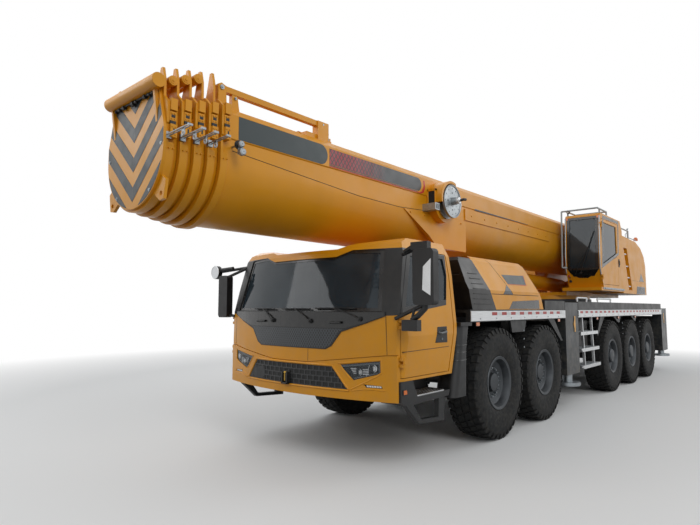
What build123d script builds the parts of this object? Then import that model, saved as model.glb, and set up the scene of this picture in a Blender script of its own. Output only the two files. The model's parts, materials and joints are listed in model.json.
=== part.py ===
"""Five-axle mobile crane: carrier, driver's cab, turntable, operator's cab and telescopic boom.

Millimetres. +X points forward, +Y to the vehicle's left, +Z up. The origin lies on the ground under
the middle of the machine's overall length and width.
"""
from build123d import *
from math import atan2, cos, degrees, hypot, radians, sin
import os

# ---------------------------------------------------------------- driving dimensions
AXLE_1_X = 3300.0                                   # first axle, ahead of the origin
AXLE_SPACING = (0.0, 1620.0, 5440.0, 7040.0, 8640.0)    # each axle behind the first
AXLE_X = [AXLE_1_X - back for back in AXLE_SPACING]
STEERED_AXLE_COUNT = 2
SIDES = (("left", 1), ("right", -1))

TYRE_RADIUS = 742.5
TYRE_WIDTH = 445.0
WHEEL_Y = 1262.0                                    # middle of the tyre from the centre line
RIM_RADIUS = 360.0
BEAD_RADIUS = 318.0
SPINDLE_RADIUS = 60.0
RUNNING_GAP = 0.5
KINGPIN_Y = 1040.0
KINGPIN_RADIUS = 62.0
AXLE_Z = TYRE_RADIUS

CARRIER_HALF_WIDTH = 1500.0
FRAME_HALF_WIDTH = 480.0
FRAME_BOTTOM = 1000.0
FRAME_TOP = 1780.0
DECK_TOP = 1870.0
SKIRT_BOTTOM = 1575.0
RAIL_BOTTOM = 1585.0
RAIL_TOP = 1713.0
FENDER_TOP = 1730.0

REAR_X = AXLE_1_X - 11200.0
FRAME_REAR_X = AXLE_1_X - 11050.0
ENGINE_COVER_FRONT_X = AXLE_1_X + 860.0
ENGINE_COVER_REAR_X = AXLE_1_X - 1570.0
ENGINE_COVER_TOP = 2440.0

# outriggers: middle of each pair of beams, fore and aft
OUTRIGGER_X = {"front": AXLE_1_X - 2850.0, "rear": AXLE_1_X - 10575.0}
OUTRIGGER_WALL = 15.0
BEAM_WIDTH = 300.0
BEAM_HEIGHT = 420.0
BEAM_BOTTOM = 1080.0
BEAM_GAP = 10.0
SLIDE_GAP = 0.3                                     # between a sliding piece and its pad or floor
BEAM_INNER_END_Y = 1240.0
JACK_BOX_Y = (1262.0, 1490.0)
JACK_BOX_LENGTH = 660.0
JACK_BOX_Z = {"front": (600.0, 1850.0), "rear": (560.0, 1745.0)}
JACK_RADIUS = 80.0
JACK_TOP_CLEARANCE = 60.0
FLOAT_RADIUS = 210.0
FLOAT_THICKNESS = 60.0
FLOAT_BOTTOM = 400.0

# driver's cab
CAB_FRONT_X = AXLE_1_X + 2510.0
CAB_CORNER_X = AXLE_1_X + 2280.0
CAB_REAR_X = AXLE_1_X + 1100.0
CAB_HALF_WIDTH = 1450.0
CAB_CORNER_SET_IN = 50.0                            # front corners, inside the full width
CAB_CORNER_HALF_WIDTH = CAB_HALF_WIDTH - CAB_CORNER_SET_IN
CAB_BOTTOM = 980.0
CAB_WAIST = 1700.0
CAB_ROOF = 2540.0
CAB_ROOF_RECESS = 2440.0
CAB_RECESS_HALF_WIDTH = 530.0                       # the roof dips under the boom
CAB_WALL = 60.0
DOOR_FRONT_X = AXLE_1_X + 2235.0
DOOR_REAR_X = AXLE_1_X + 1165.0
DOOR_BOTTOM = 1010.0
DOOR_TOP = 2400.0
DOOR_GAP = 7.0
DOOR_REAR_GAP = 16.0                                # the leaning door swings back as it opens
GLASS_THICKNESS = 8.0
GLASS_INSET = 16.0

# turntable, operator's cab and boom
SLEW_X = AXLE_1_X - 5750.0
SLEW_RING_RADIUS = 930.0
SLEW_RING_HEIGHT = 80.0                             # each half of the ring
SLEW_RING_SPLIT = DECK_TOP + SLEW_RING_HEIGHT
TURNTABLE_BOTTOM = SLEW_RING_SPLIT + SLEW_RING_HEIGHT
TURNTABLE_PLATE = 70.0
UPPER_X = (AXLE_1_X - 6600.0, AXLE_1_X - 4830.0)
UPPER_Y = (740.0, 1450.0)
UPPER_Z = (TURNTABLE_BOTTOM + 160.0, TURNTABLE_BOTTOM + 1730.0)
CHEEK_INNER_Y = 650.0
CHEEK_THICKNESS = 50.0
BOOM_PIVOT_X = AXLE_1_X - 8900.0
BOOM_PIVOT_Z = TURNTABLE_BOTTOM + 1170.0
BOOM_PIVOT_RADIUS = 110.0
LUFF_FOOT = (AXLE_1_X - 6600.0, TURNTABLE_BOTTOM + 270.0)             # cylinder's lower pin, X and Z
LUFF_EYE = (AXLE_1_X - 2000.0, BOOM_PIVOT_Z - 800.0)              # cylinder's upper pin, X and Z
LUFF_BARREL_RADIUS = 160.0
LUFF_ROD_RADIUS = 115.0
LUFF_EYE_RADIUS = 105.0

BOOM_HALF_WIDTH = 575.0
BOOM_TOP = BOOM_PIVOT_Z + 500.0
BOOM_AXIS_Z = BOOM_PIVOT_Z - 50.0                                # centre of the round underside
BOOM_REAR_X = AXLE_1_X - 9250.0
BOOM_COLLAR_X = AXLE_1_X + 3890.0                   # rear face of the base section's collar
BOOM_WALL = 9.0
BOOM_CHAMFER = 78.0
BOOM_FOLD_Z = BOOM_AXIS_Z + 230.0                   # the sides step in below this height
BOOM_FOLD_IN = 12.0
BOOM_STEP = 22.0                                    # each section is this much smaller all round
COLLAR_PITCH = 128.0
COLLAR_THICKNESS = 60.0
COLLAR_RISE = 38.0
FIN_RISE = 330.0                                    # fins above the first collar's boom top
SECTION_COUNT = 5
BOOM_PANEL_THICKNESS = 28.0

os.makedirs("parts", exist_ok=True)


def save(builder, label):
    """Labels the finished piece and writes its STEP file."""
    builder.part.label = label
    export_step(builder.part, f"parts/{label}.step")


def block(x, y, z, mode=Mode.ADD):
    """Adds a block between the limits x, y and z, each (low, high)."""
    with Locations(((x[0] + x[1]) / 2, (y[0] + y[1]) / 2, (z[0] + z[1]) / 2)):
        Box(x[1] - x[0], y[1] - y[0], z[1] - z[0], mode=mode)


def side_plate(points, y, mode=Mode.ADD):
    """Extrudes an outline of (X, Z) points between y = (low, high)."""
    with BuildSketch(Plane.XZ.offset(-y[1])) as outline:
        with BuildLine():
            Polyline(*points, close=True)
        make_face()
    extrude(outline.sketch, amount=y[1] - y[0], mode=mode)


def cross_plate(points, x, mode=Mode.ADD):
    """Extrudes an outline of (Y, Z) points between x = (low, high)."""
    with BuildSketch(Plane.YZ.offset(x[0])) as outline:
        with BuildLine():
            Polyline(*points, close=True)
        make_face()
    extrude(outline.sketch, amount=x[1] - x[0], mode=mode)


def rod(start, end, radius, mode=Mode.ADD):
    """Adds a round bar between two points."""
    direction = Vector(*end) - Vector(*start)
    with BuildSketch(Plane(origin=start, z_dir=direction)) as section:
        Circle(radius)
    extrude(section.sketch, amount=direction.length, mode=mode)


def limits(middle, size):
    """Low and high limit of a size about its middle."""
    return (middle - size / 2, middle + size / 2)


# ---------------------------------------------------------------- wheels
# tyre section: (radius, distance outward from the tyre's middle)
TYRE_SECTION = ((321.3, 165), (540, 222.5), (742.5, 178))


def tyre_and_rim(x, side, rear_hub):
    """Revolves one wheel's tyre and its dished rim about the axle."""
    half = [(radius, out) for radius, out in TYRE_SECTION]
    section = half + [(radius, -out) for radius, out in reversed(half)]
    axle = Axis((x, 0, AXLE_Z), (0, 1, 0))
    with BuildSketch(Plane.YZ.offset(x)) as tyre:
        with BuildLine():
            Polyline(*[(side * (WHEEL_Y + out), AXLE_Z + radius) for radius, out in section], close=True)
        make_face()
    revolve(tyre.sketch, axis=axle)
    cap = 190 if rear_hub else 120
    bore = SPINDLE_RADIUS + RUNNING_GAP
    rim = [(321, 165), (RIM_RADIUS, 185), (RIM_RADIUS, 200), (300, 190), (270, 90), (170, 60),
           (150, cap), (0, cap), (0, cap - 30), (bore, cap - 30), (bore, -10), (150, -10),
           (290, 60), (300, -165), (321, -165)]
    with BuildSketch(Plane.YZ.offset(x)) as disc:
        with BuildLine():
            Polyline(*[(side * (WHEEL_Y + out), AXLE_Z + radius) for radius, out in rim], close=True)
        make_face()
    revolve(disc.sketch, axis=axle)


for number, axle_x in enumerate(AXLE_X, start=1):
    for side_name, side in SIDES:
        with BuildPart() as wheel:
            tyre_and_rim(axle_x, side, number > STEERED_AXLE_COUNT)
        save(wheel, f"wheel_{side_name}_{number}")

# ---------------------------------------------------------------- steering knuckles
SPINDLE_END_Y = WHEEL_Y + 80.0
YOKE_UPPER = (AXLE_Z + 130.0, AXLE_Z + 175.0)
YOKE_LOWER = (AXLE_Z - 175.0, AXLE_Z - 130.0)
YOKE_GAP = 0.5

for number in range(1, STEERED_AXLE_COUNT + 1):
    axle_x = AXLE_X[number - 1]
    for side_name, side in SIDES:
        with BuildPart() as knuckle:
            rod((axle_x, side * KINGPIN_Y, YOKE_LOWER[1] + YOKE_GAP),
                (axle_x, side * KINGPIN_Y, YOKE_UPPER[0] - YOKE_GAP), KINGPIN_RADIUS)
            rod((axle_x, side * KINGPIN_Y, AXLE_Z), (axle_x, side * SPINDLE_END_Y, AXLE_Z),
                SPINDLE_RADIUS)
            block(limits(axle_x - 120, 200), limits(side * KINGPIN_Y, 70), limits(AXLE_Z, 60))
        save(knuckle, f"knuckle_{side_name}_{number}")

# ---------------------------------------------------------------- axle beams and suspension
STRUT_Y = 700.0
STRUT_RADIUS = 60.0
STRUT_TOP = 1440.0
BEAM_TUBE_RADIUS = 90.0
DIFFERENTIAL = ((90.0, 200.0), (170.0, 150.0))         # stepped housing: half length and radius
LINK_Y = 330.0
LINK_Z = AXLE_Z + 50.0
LINK_LENGTH = 560.0

with BuildPart() as axle_beams:
    for number, axle_x in enumerate(AXLE_X, start=1):
        for half_length, radius in DIFFERENTIAL:
            rod((axle_x, -half_length, AXLE_Z), (axle_x, half_length, AXLE_Z), radius)
        for side_name, side in SIDES:
            if number <= STEERED_AXLE_COUNT:
                rod((axle_x, 0, AXLE_Z), (axle_x, side * 930, AXLE_Z), BEAM_TUBE_RADIUS)
                block(limits(axle_x, 110), limits(side * 930, 50), (YOKE_LOWER[0], YOKE_UPPER[1]))
                for low, high in (YOKE_UPPER, YOKE_LOWER):
                    block(limits(axle_x, 130), limits(side * 1005, 200), (low, high))
            else:
                rod((axle_x, 0, AXLE_Z), (axle_x, side * 1080, AXLE_Z), BEAM_TUBE_RADIUS)
                rod((axle_x, 0, AXLE_Z), (axle_x, side * SPINDLE_END_Y, AXLE_Z), SPINDLE_RADIUS)
            rod((axle_x, side * STRUT_Y, AXLE_Z), (axle_x, side * STRUT_Y, STRUT_TOP), STRUT_RADIUS)
            rod((axle_x, side * LINK_Y, LINK_Z), (axle_x - LINK_LENGTH, side * LINK_Y, LINK_Z), 35)
save(axle_beams, "axle_beams")

# ---------------------------------------------------------------- frame with outrigger housings
with BuildPart() as chassis_frame:
    side_plate([(CAB_CORNER_X, 760), (CAB_CORNER_X, CAB_BOTTOM), (AXLE_1_X + 900, CAB_BOTTOM),
                (AXLE_1_X + 700, 1280), (ENGINE_COVER_REAR_X - 30, 1280),
                (ENGINE_COVER_REAR_X - 30, FRAME_TOP), (FRAME_REAR_X, FRAME_TOP),
                (FRAME_REAR_X, FRAME_BOTTOM), (AXLE_1_X + 760, FRAME_BOTTOM), (AXLE_1_X + 1000, 760)],
               (-FRAME_HALF_WIDTH, FRAME_HALF_WIDTH))
    for axle_x in AXLE_X:
        for side_name, side in SIDES:
            block(limits(axle_x, 200), sorted((side * 410, side * (STRUT_Y + 80))), (STRUT_TOP, STRUT_TOP + 90))
            block(limits(axle_x, 200), sorted((side * 410, side * FRAME_HALF_WIDTH)), (1200, STRUT_TOP + 90))
            block((axle_x - LINK_LENGTH - 90, axle_x - LINK_LENGTH), limits(side * LINK_Y, 90),
                  (LINK_Z - 50, FRAME_BOTTOM))
    block((REAR_X + 40, FRAME_REAR_X), (-1250, 1250), (1030, 1200))
    housing_half = BEAM_WIDTH + 2 * BEAM_GAP + 1.5 * OUTRIGGER_WALL
    for middle in OUTRIGGER_X.values():
        block((middle - housing_half, middle + housing_half), (-1250, 1250),
              (BEAM_BOTTOM - BEAM_GAP - OUTRIGGER_WALL, BEAM_BOTTOM + BEAM_HEIGHT + BEAM_GAP + OUTRIGGER_WALL))
    for middle in OUTRIGGER_X.values():
        for side_name, side in SIDES:
            beam_middle = middle + side * (BEAM_WIDTH / 2 + BEAM_GAP + OUTRIGGER_WALL / 2)
            block(limits(beam_middle, BEAM_WIDTH + 2 * BEAM_GAP), (-1300, 1300),
                  (BEAM_BOTTOM - SLIDE_GAP, BEAM_BOTTOM + BEAM_HEIGHT + BEAM_GAP), mode=Mode.SUBTRACT)
save(chassis_frame, "chassis_frame")

# ---------------------------------------------------------------- outrigger beams and jacks
for place, middle in OUTRIGGER_X.items():
    for side_name, side in SIDES:
        beam_middle = middle + side * (BEAM_WIDTH / 2 + BEAM_GAP + OUTRIGGER_WALL / 2)
        bottom, top = JACK_BOX_Z[place]
        jack_y = side * sum(JACK_BOX_Y) / 2
        ends = sorted((-side * BEAM_INNER_END_Y, side * (JACK_BOX_Y[0] + 5)))
        box_y = sorted((side * JACK_BOX_Y[0], side * JACK_BOX_Y[1]))
        with BuildPart() as outrigger_beam:
            block(limits(beam_middle, BEAM_WIDTH), ends, (BEAM_BOTTOM, BEAM_BOTTOM + BEAM_HEIGHT))
            block(limits(middle, JACK_BOX_LENGTH), box_y, (bottom, top))
            rod((middle, jack_y, bottom), (middle, jack_y, top - JACK_TOP_CLEARANCE),
                JACK_RADIUS + RUNNING_GAP, mode=Mode.SUBTRACT)
        save(outrigger_beam, f"outrigger_beam_{place}_{side_name}")
        with BuildPart() as outrigger_jack:
            rod((middle, jack_y, FLOAT_BOTTOM), (middle, jack_y, FLOAT_BOTTOM + FLOAT_THICKNESS),
                FLOAT_RADIUS)
            rod((middle, jack_y, FLOAT_BOTTOM), (middle, jack_y, top - JACK_TOP_CLEARANCE - 1),
                JACK_RADIUS)
        save(outrigger_jack, f"outrigger_jack_{place}_{side_name}")

# ---------------------------------------------------------------- deck, side rails, engine and its cover
FRONT_DECK_X = (OUTRIGGER_X["front"] + 345.0, AXLE_1_X + 850.0)
REAR_DECK_X = (OUTRIGGER_X["rear"] + 345.0, OUTRIGGER_X["front"] - 345.0)
SKIRT_THICKNESS = 60.0
RAIL_THICKNESS = 10.0
SKIRT_Y = CARRIER_HALF_WIDTH - RAIL_THICKNESS

with BuildPart() as deck:
    block((FRONT_DECK_X[0], ENGINE_COVER_REAR_X - 35), (-SKIRT_Y, SKIRT_Y), (FRAME_TOP, DECK_TOP))
    block(REAR_DECK_X, (-SKIRT_Y, SKIRT_Y), (FRAME_TOP, DECK_TOP))
    for side_name, side in SIDES:
        block((ENGINE_COVER_REAR_X - 40, FRONT_DECK_X[1]), sorted((side * 900, side * SKIRT_Y)),
              (FENDER_TOP - 40, FENDER_TOP))
        skirt = sorted((side * (SKIRT_Y - SKIRT_THICKNESS), side * SKIRT_Y))
        block(FRONT_DECK_X, skirt, (SKIRT_BOTTOM, FENDER_TOP))
        block((FRONT_DECK_X[0], ENGINE_COVER_REAR_X - 35), skirt, (SKIRT_BOTTOM, DECK_TOP))
        block(REAR_DECK_X, skirt, (SKIRT_BOTTOM, DECK_TOP))
    for support_x in (ENGINE_COVER_FRONT_X - 390, ENGINE_COVER_REAR_X + 220):
        block(limits(support_x, 90), (-SKIRT_Y, SKIRT_Y), (FENDER_TOP - 100, FENDER_TOP))
save(deck, "deck")

GRAB_RAIL_X = ((AXLE_1_X - 3230, AXLE_1_X - 3800), (AXLE_1_X - 4460, AXLE_1_X - 5400))
GRAB_RAIL_Y = 1462.0
GRAB_RAIL_Z = DECK_TOP + 70.0
GRAB_RAIL_RADIUS = 14.0
with BuildPart() as side_rails:
    for start, end in (FRONT_DECK_X, REAR_DECK_X):
        for side_name, side in SIDES:
            block((start + 5, end - 5), sorted((side * SKIRT_Y, side * CARRIER_HALF_WIDTH)),
                  (RAIL_BOTTOM, RAIL_TOP))
    for side_name, side in SIDES:
        for front_x, rear_x in GRAB_RAIL_X:
            rail_y = side * GRAB_RAIL_Y
            rod((rear_x, rail_y, GRAB_RAIL_Z), (front_x, rail_y, GRAB_RAIL_Z), GRAB_RAIL_RADIUS)
            for post_x in (rear_x + 20, front_x - 20):
                rod((post_x, rail_y, DECK_TOP), (post_x, rail_y, GRAB_RAIL_Z), GRAB_RAIL_RADIUS)
save(side_rails, "side_rails")

COVER_STEP_X = AXLE_1_X + 449.0                     # the black front part is lower than the rest
with BuildPart() as powertrain:
    block((ENGINE_COVER_REAR_X + 470, COVER_STEP_X - 149), (-400, 400), (FRAME_BOTTOM + 280, ENGINE_COVER_TOP - 190))
save(powertrain, "powertrain")

COVER_WALL = 40.0
# half outline of the engine cover: (Y, Z)
COVER_OUTLINE = ((1480, FENDER_TOP), (1470, 1990), (1330, 2380), (1270, ENGINE_COVER_TOP))
COVER_STEP = 30.0
# front edge, which leans forward and rounds over: ahead of the front, height
COVER_FRONT = ((-95.0, FENDER_TOP), (40.0, ENGINE_COVER_TOP - 220), (30.0, ENGINE_COVER_TOP - 100),
               (-60.0, ENGINE_COVER_TOP - COVER_STEP))
COVER_SLOPE = ((440.0, 0.0), (140.0, 450.0), (60.0, 540.0))     # rear edge: ahead of the rear, below the top


def cover_profile(inset):
    """Side outline of the engine cover, inset by its wall."""
    top = ENGINE_COVER_TOP - inset
    front = [(ENGINE_COVER_FRONT_X + ahead - inset, height - (inset if height > FENDER_TOP else 0))
             for ahead, height in COVER_FRONT]
    rear = [(ENGINE_COVER_REAR_X + ahead + inset, top - below) for ahead, below in COVER_SLOPE]
    return front + [(COVER_STEP_X - inset, top - COVER_STEP), (COVER_STEP_X + 60 - inset, top)] + rear + [
            (ENGINE_COVER_REAR_X + inset, FENDER_TOP)]


outline = [(y, z) for y, z in COVER_OUTLINE] + [(-y, z) for y, z in reversed(COVER_OUTLINE)]
inner = [(y - COVER_WALL * (1 if y > 0 else -1), z - (COVER_WALL if z > CAB_WAIST + 600 else 0))
         for y, z in outline]
with BuildPart() as cover_space:
    cross_plate(inner, (ENGINE_COVER_REAR_X, ENGINE_COVER_FRONT_X))
    side_plate(cover_profile(COVER_WALL), (-CARRIER_HALF_WIDTH, CARRIER_HALF_WIDTH), mode=Mode.INTERSECT)
with BuildPart() as engine_cover:
    cross_plate(outline, (ENGINE_COVER_REAR_X, ENGINE_COVER_FRONT_X))
    side_plate(cover_profile(0), (-CARRIER_HALF_WIDTH, CARRIER_HALF_WIDTH), mode=Mode.INTERSECT)
    add(cover_space.part, mode=Mode.SUBTRACT)
save(engine_cover, "engine_cover")

# ---------------------------------------------------------------- driver's cab
def cab_front_view(inset, floor):
    """Half outline seen from the front, inset by a wall thickness; its roof dips under the boom."""
    return ((CAB_HALF_WIDTH - 20 - inset, floor), (CAB_HALF_WIDTH - inset, CAB_WAIST - 250),
            (CAB_HALF_WIDTH - 25 - inset, CAB_WAIST), (CAB_HALF_WIDTH - 90 - inset, 2380),
            (CAB_HALF_WIDTH - 170 - inset, CAB_ROOF - inset),
            (CAB_RECESS_HALF_WIDTH + 210 - inset, CAB_ROOF - 40 - inset),
            (CAB_RECESS_HALF_WIDTH - inset, CAB_ROOF_RECESS - inset))


# nose of the cab: height, and how far the same plan is set back there
CAB_NOSE = ((1350.0, 0.0), (CAB_WAIST, 8.0), (2400.0, 205.0), (2480.0, 260.0), (CAB_ROOF, 400.0))
CORNER_FLAT = 150.0                                 # the side's flat ends this far behind the corner


def nose_plan(inset, rear_x, back=0.0):
    """Sketches the plan of the cab: a curved nose, inset from its skin and set back, and flat sides to rear_x."""
    corner = (CAB_CORNER_X - inset - back, CAB_CORNER_HALF_WIDTH - inset)
    side_y = CAB_HALF_WIDTH + 1 - inset
    with BuildLine() as edge:
        Polyline((corner[0], -corner[1]), (corner[0] - CORNER_FLAT, -side_y), (rear_x, -side_y),
                 (rear_x, side_y), (corner[0] - CORNER_FLAT, side_y), corner)
        ThreePointArc(corner, (CAB_FRONT_X - inset - back, 0), (corner[0], -corner[1]))
    make_face(edge.edges())


def cab_envelope(inset, floor):
    """The cab's outer form, or its inner space when inset by the wall."""
    half = cab_front_view(inset, floor)
    front_view = list(half) + [(-y, z) for y, z in reversed(half)]
    rear = CAB_REAR_X + inset
    side_view = [(rear + CAB_REAR_CUT[0], floor), (CAB_FRONT_X, floor), (CAB_FRONT_X, CAB_ROOF),
                 (rear + 45, CAB_ROOF), (rear, CAB_ROOF - 400), (rear, CAB_REAR_CUT[1])]
    with BuildPart() as envelope:
        for height, back in ((floor, 0.0),) + CAB_NOSE:
            with BuildSketch(Plane.XY.offset(height)):
                nose_plan(inset, rear, back)
        loft(ruled=True)
        cross_plate(front_view, (CAB_REAR_X, CAB_FRONT_X), mode=Mode.INTERSECT)
        side_plate(side_view, (-CAB_HALF_WIDTH, CAB_HALF_WIDTH), mode=Mode.INTERSECT)
    return envelope.part


CAB_REAR_CUT = (120.0, 1550.0)                      # the rear wall leans forward below this height
cab_outer = cab_envelope(0, CAB_BOTTOM)
cab_inner = cab_envelope(CAB_WALL, CAB_BOTTOM + CAB_WALL)
DOOR_OUTLINE = ((DOOR_REAR_X + CAB_REAR_CUT[0], DOOR_BOTTOM), (DOOR_FRONT_X, DOOR_BOTTOM), (DOOR_FRONT_X, CAB_WAIST),
                (DOOR_FRONT_X - 215, DOOR_TOP), (DOOR_REAR_X + 40, DOOR_TOP), (DOOR_REAR_X, CAB_ROOF - 400),
                (DOOR_REAR_X, CAB_REAR_CUT[1]))
DOOR_INNER_Y = CAB_HALF_WIDTH - 300.0
CAB_SIDE_Y = CAB_HALF_WIDTH + 50.0                  # beyond the skin, where side cuts end
door_space = cab_envelope(CAB_WALL, CAB_BOTTOM)     # the inner space again, with no floor in it
DOOR_WINDOW = ((DOOR_REAR_X + 125, CAB_WAIST + 150), (DOOR_FRONT_X - 95, CAB_WAIST + 60),
               (DOOR_FRONT_X - 275, DOOR_TOP - 70), (DOOR_REAR_X + 120, DOOR_TOP - 60),
               (DOOR_REAR_X + 70, CAB_ROOF - 400))


def both_sides(half):
    """A closed outline from its half at +Y."""
    return [tuple(point) for point in half] + [(-y, z) for y, z in reversed(half)]


WINDSCREEN = both_sides(((1235, CAB_WAIST + 15), (1150, 2400), (750, 2415), (540, 2345)))
WINDSCREEN_X = (CAB_FRONT_X - 580.0, CAB_FRONT_X + 20.0)
REAR_WINDOW = ((500, 1900), (500, 2250), (-500, 2250), (-500, 1900))


HINGE_X = DOOR_FRONT_X - 12.0
HINGE_Y = CAB_HALF_WIDTH + 2.0
HINGE_Z = (1180.0, 1580.0)
HINGE_RADIUS = 14.0
HINGE_PIN_RADIUS = 7.0
HINGE_KNUCKLE = 34.0                                # length of each knuckle of a hinge
HINGE_LEAF = 8.0


def fixed_hinge(x, y, z, leaf_x, leaf_y):
    """Two outer knuckles with the pin through them, on a leaf that ends at leaf_x, leaf_y."""
    rod((x, y, z - 1.5 * HINGE_KNUCKLE), (x, y, z + 1.5 * HINGE_KNUCKLE), HINGE_PIN_RADIUS)
    for end in (-1, 1):
        span = sorted((z + end * (HINGE_KNUCKLE / 2 + SLIDE_GAP), z + end * 1.5 * HINGE_KNUCKLE))
        rod((x, y, span[0]), (x, y, span[1]), HINGE_RADIUS)
        block(sorted((x, leaf_x)), limits(y, HINGE_LEAF), span)
        block(limits(leaf_x, HINGE_LEAF), sorted((y + HINGE_LEAF / 2 * (1 if y > leaf_y else -1), leaf_y)), span)


def swinging_hinge(x, y, z, leaf_x, leaf_y):
    """The middle knuckle, bored for the pin, on a leaf that ends at leaf_x, leaf_y."""
    span = limits(z, HINGE_KNUCKLE - 2 * SLIDE_GAP)
    rod((x, y, span[0]), (x, y, span[1]), HINGE_RADIUS)
    block(sorted((x, leaf_x)), limits(y, HINGE_LEAF), span)
    block(limits(leaf_x, HINGE_LEAF), sorted((y + HINGE_LEAF / 2 * (1 if y > leaf_y else -1), leaf_y)), span)
    rod((x, y, span[0]), (x, y, span[1]), HINGE_PIN_RADIUS + RUNNING_GAP, mode=Mode.SUBTRACT)


def inset_outline(outline, gap, rear_gap):
    """Moves each corner of an outline inward by the gap, or the rear gap at its rear edge."""
    middle_x = (min(x for x, z in outline) + max(x for x, z in outline)) / 2
    middle_z = (min(z for x, z in outline) + max(z for x, z in outline)) / 2
    return [(x + (rear_gap if x < middle_x else -gap), z + (gap if z < middle_z else -gap))
            for x, z in outline]


NOSE_REAR_X = AXLE_1_X + 2060.0
FASCIA_X = (DOOR_FRONT_X + 30.0, CAB_FRONT_X + 50.0)
FASCIA_PROUD = 6.0                                  # the bumper's skin stands this far out of the nose
FASCIA_INNER = 28.0
SEAM_HALF = ((CAB_HALF_WIDTH + 50, CAB_BOTTOM - 1), (CAB_HALF_WIDTH + 50, 1262), (1263, 1250), (300, 1140))
SEAM_GAP = 6.0


def nose_skin(outer, inner, z, outline, x=FASCIA_X):
    """A skin that follows the nose between two insets and the heights z, within an outline of (Y, Z)."""
    with BuildPart() as skin:
        with BuildSketch(Plane.XY.offset(z[0])) as plan:
            nose_plan(outer, NOSE_REAR_X)
        extrude(plan.sketch, amount=z[1] - z[0])
        with BuildSketch(Plane.XY.offset(z[0])) as hollow:
            nose_plan(inner, NOSE_REAR_X - 10)
        extrude(hollow.sketch, amount=z[1] - z[0], mode=Mode.SUBTRACT)
        cross_plate(outline, x, mode=Mode.INTERSECT)
    return skin.part


fascia_space = nose_skin(-20, FASCIA_INNER, (CAB_BOTTOM - 1, 1300), both_sides(SEAM_HALF),
                         (FASCIA_X[0] - 5, FASCIA_X[1]))
with BuildPart() as cab_shell:
    add(cab_outer)
    add(cab_inner, mode=Mode.SUBTRACT)
    add(fascia_space, mode=Mode.SUBTRACT)
    for side_name, side in SIDES:
        side_plate(DOOR_OUTLINE, sorted((side * DOOR_INNER_Y, side * CAB_SIDE_Y)), mode=Mode.SUBTRACT)
    cross_plate(WINDSCREEN, WINDSCREEN_X, mode=Mode.SUBTRACT)
    cross_plate(REAR_WINDOW, (CAB_REAR_X - 10, CAB_REAR_X + CAB_WALL + 10), mode=Mode.SUBTRACT)
    for side_name, side in SIDES:
        for hinge_z in HINGE_Z:
            fixed_hinge(HINGE_X, side * HINGE_Y, hinge_z, HINGE_X + 30, side * (CAB_HALF_WIDTH - 60))
save(cab_shell, "cab_shell")

pane_outer = cab_envelope(GLASS_INSET, CAB_BOTTOM + GLASS_INSET)
pane_inner = cab_envelope(GLASS_INSET + GLASS_THICKNESS, CAB_BOTTOM + GLASS_INSET + GLASS_THICKNESS)
with BuildPart() as cab_windows:
    cross_plate(WINDSCREEN, WINDSCREEN_X)
    cross_plate(REAR_WINDOW, (CAB_REAR_X - 10, CAB_REAR_X + CAB_WALL + 10))
with BuildPart() as cab_glass:
    add(pane_outer)
    add(pane_inner, mode=Mode.SUBTRACT)
    add(cab_windows.part, mode=Mode.INTERSECT)
save(cab_glass, "cab_glass")

for side_name, side in SIDES:
    reach = sorted((side * DOOR_INNER_Y, side * CAB_SIDE_Y))
    with BuildPart() as cab_door:
        add(cab_outer)
        add(door_space, mode=Mode.SUBTRACT)
        side_plate(inset_outline(DOOR_OUTLINE, DOOR_GAP, DOOR_REAR_GAP), reach, mode=Mode.INTERSECT)
        side_plate(DOOR_WINDOW, reach, mode=Mode.SUBTRACT)
        for hinge_z in HINGE_Z:
            swinging_hinge(HINGE_X, side * HINGE_Y, hinge_z, HINGE_X - 36, side * (CAB_HALF_WIDTH - 40))
    save(cab_door, f"cab_door_{side_name}")
    with BuildPart() as door_glass:
        add(pane_outer)
        add(pane_inner, mode=Mode.SUBTRACT)
        side_plate(DOOR_WINDOW, reach, mode=Mode.INTERSECT)
    save(door_glass, f"door_glass_{side_name}")

# bumper with its grille opening and lamp pockets: outlines in (Y, Z)
BUMPER_BOTTOM = 765.0
GRILLE_Z = (BUMPER_BOTTOM + 105.0, CAB_BOTTOM + 125.0)
GRILLE_OUTLINE = both_sides(((850, GRILLE_Z[0]), (645, GRILLE_Z[1])))
HEADLIGHT = ((745, 1132), (1228, 1190), (1232, 1068), (1190, 1045), (918, 973))
DAY_LAMP = ((1035, 938), (1245, 930), (1256, 905), (1065, 905))
LAMP_OUTLINES = (HEADLIGHT, DAY_LAMP)


def on_side(outline, side):
    """An outline of (Y, Z) on one side of the machine."""
    return [(side * y, z) for y, z in outline]


lower_ring = nose_skin(-FASCIA_PROUD, 50, (BUMPER_BOTTOM, CAB_BOTTOM), both_sides(((1600, 0), (1600, 2000))))
fascia_half = [(y, z - (SEAM_GAP if z > CAB_BOTTOM else 0)) for y, z in SEAM_HALF]
fascia = nose_skin(-FASCIA_PROUD, FASCIA_INNER, (CAB_BOTTOM, 1300), both_sides(fascia_half))
with BuildPart() as front_bumper:
    add(lower_ring)
    add(fascia)
    cross_plate(GRILLE_OUTLINE, FASCIA_X, mode=Mode.SUBTRACT)
    for side_name, side in SIDES:
        for outline in LAMP_OUTLINES:
            cross_plate(on_side(outline, side), FASCIA_X, mode=Mode.SUBTRACT)
save(front_bumper, "front_bumper")

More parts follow.
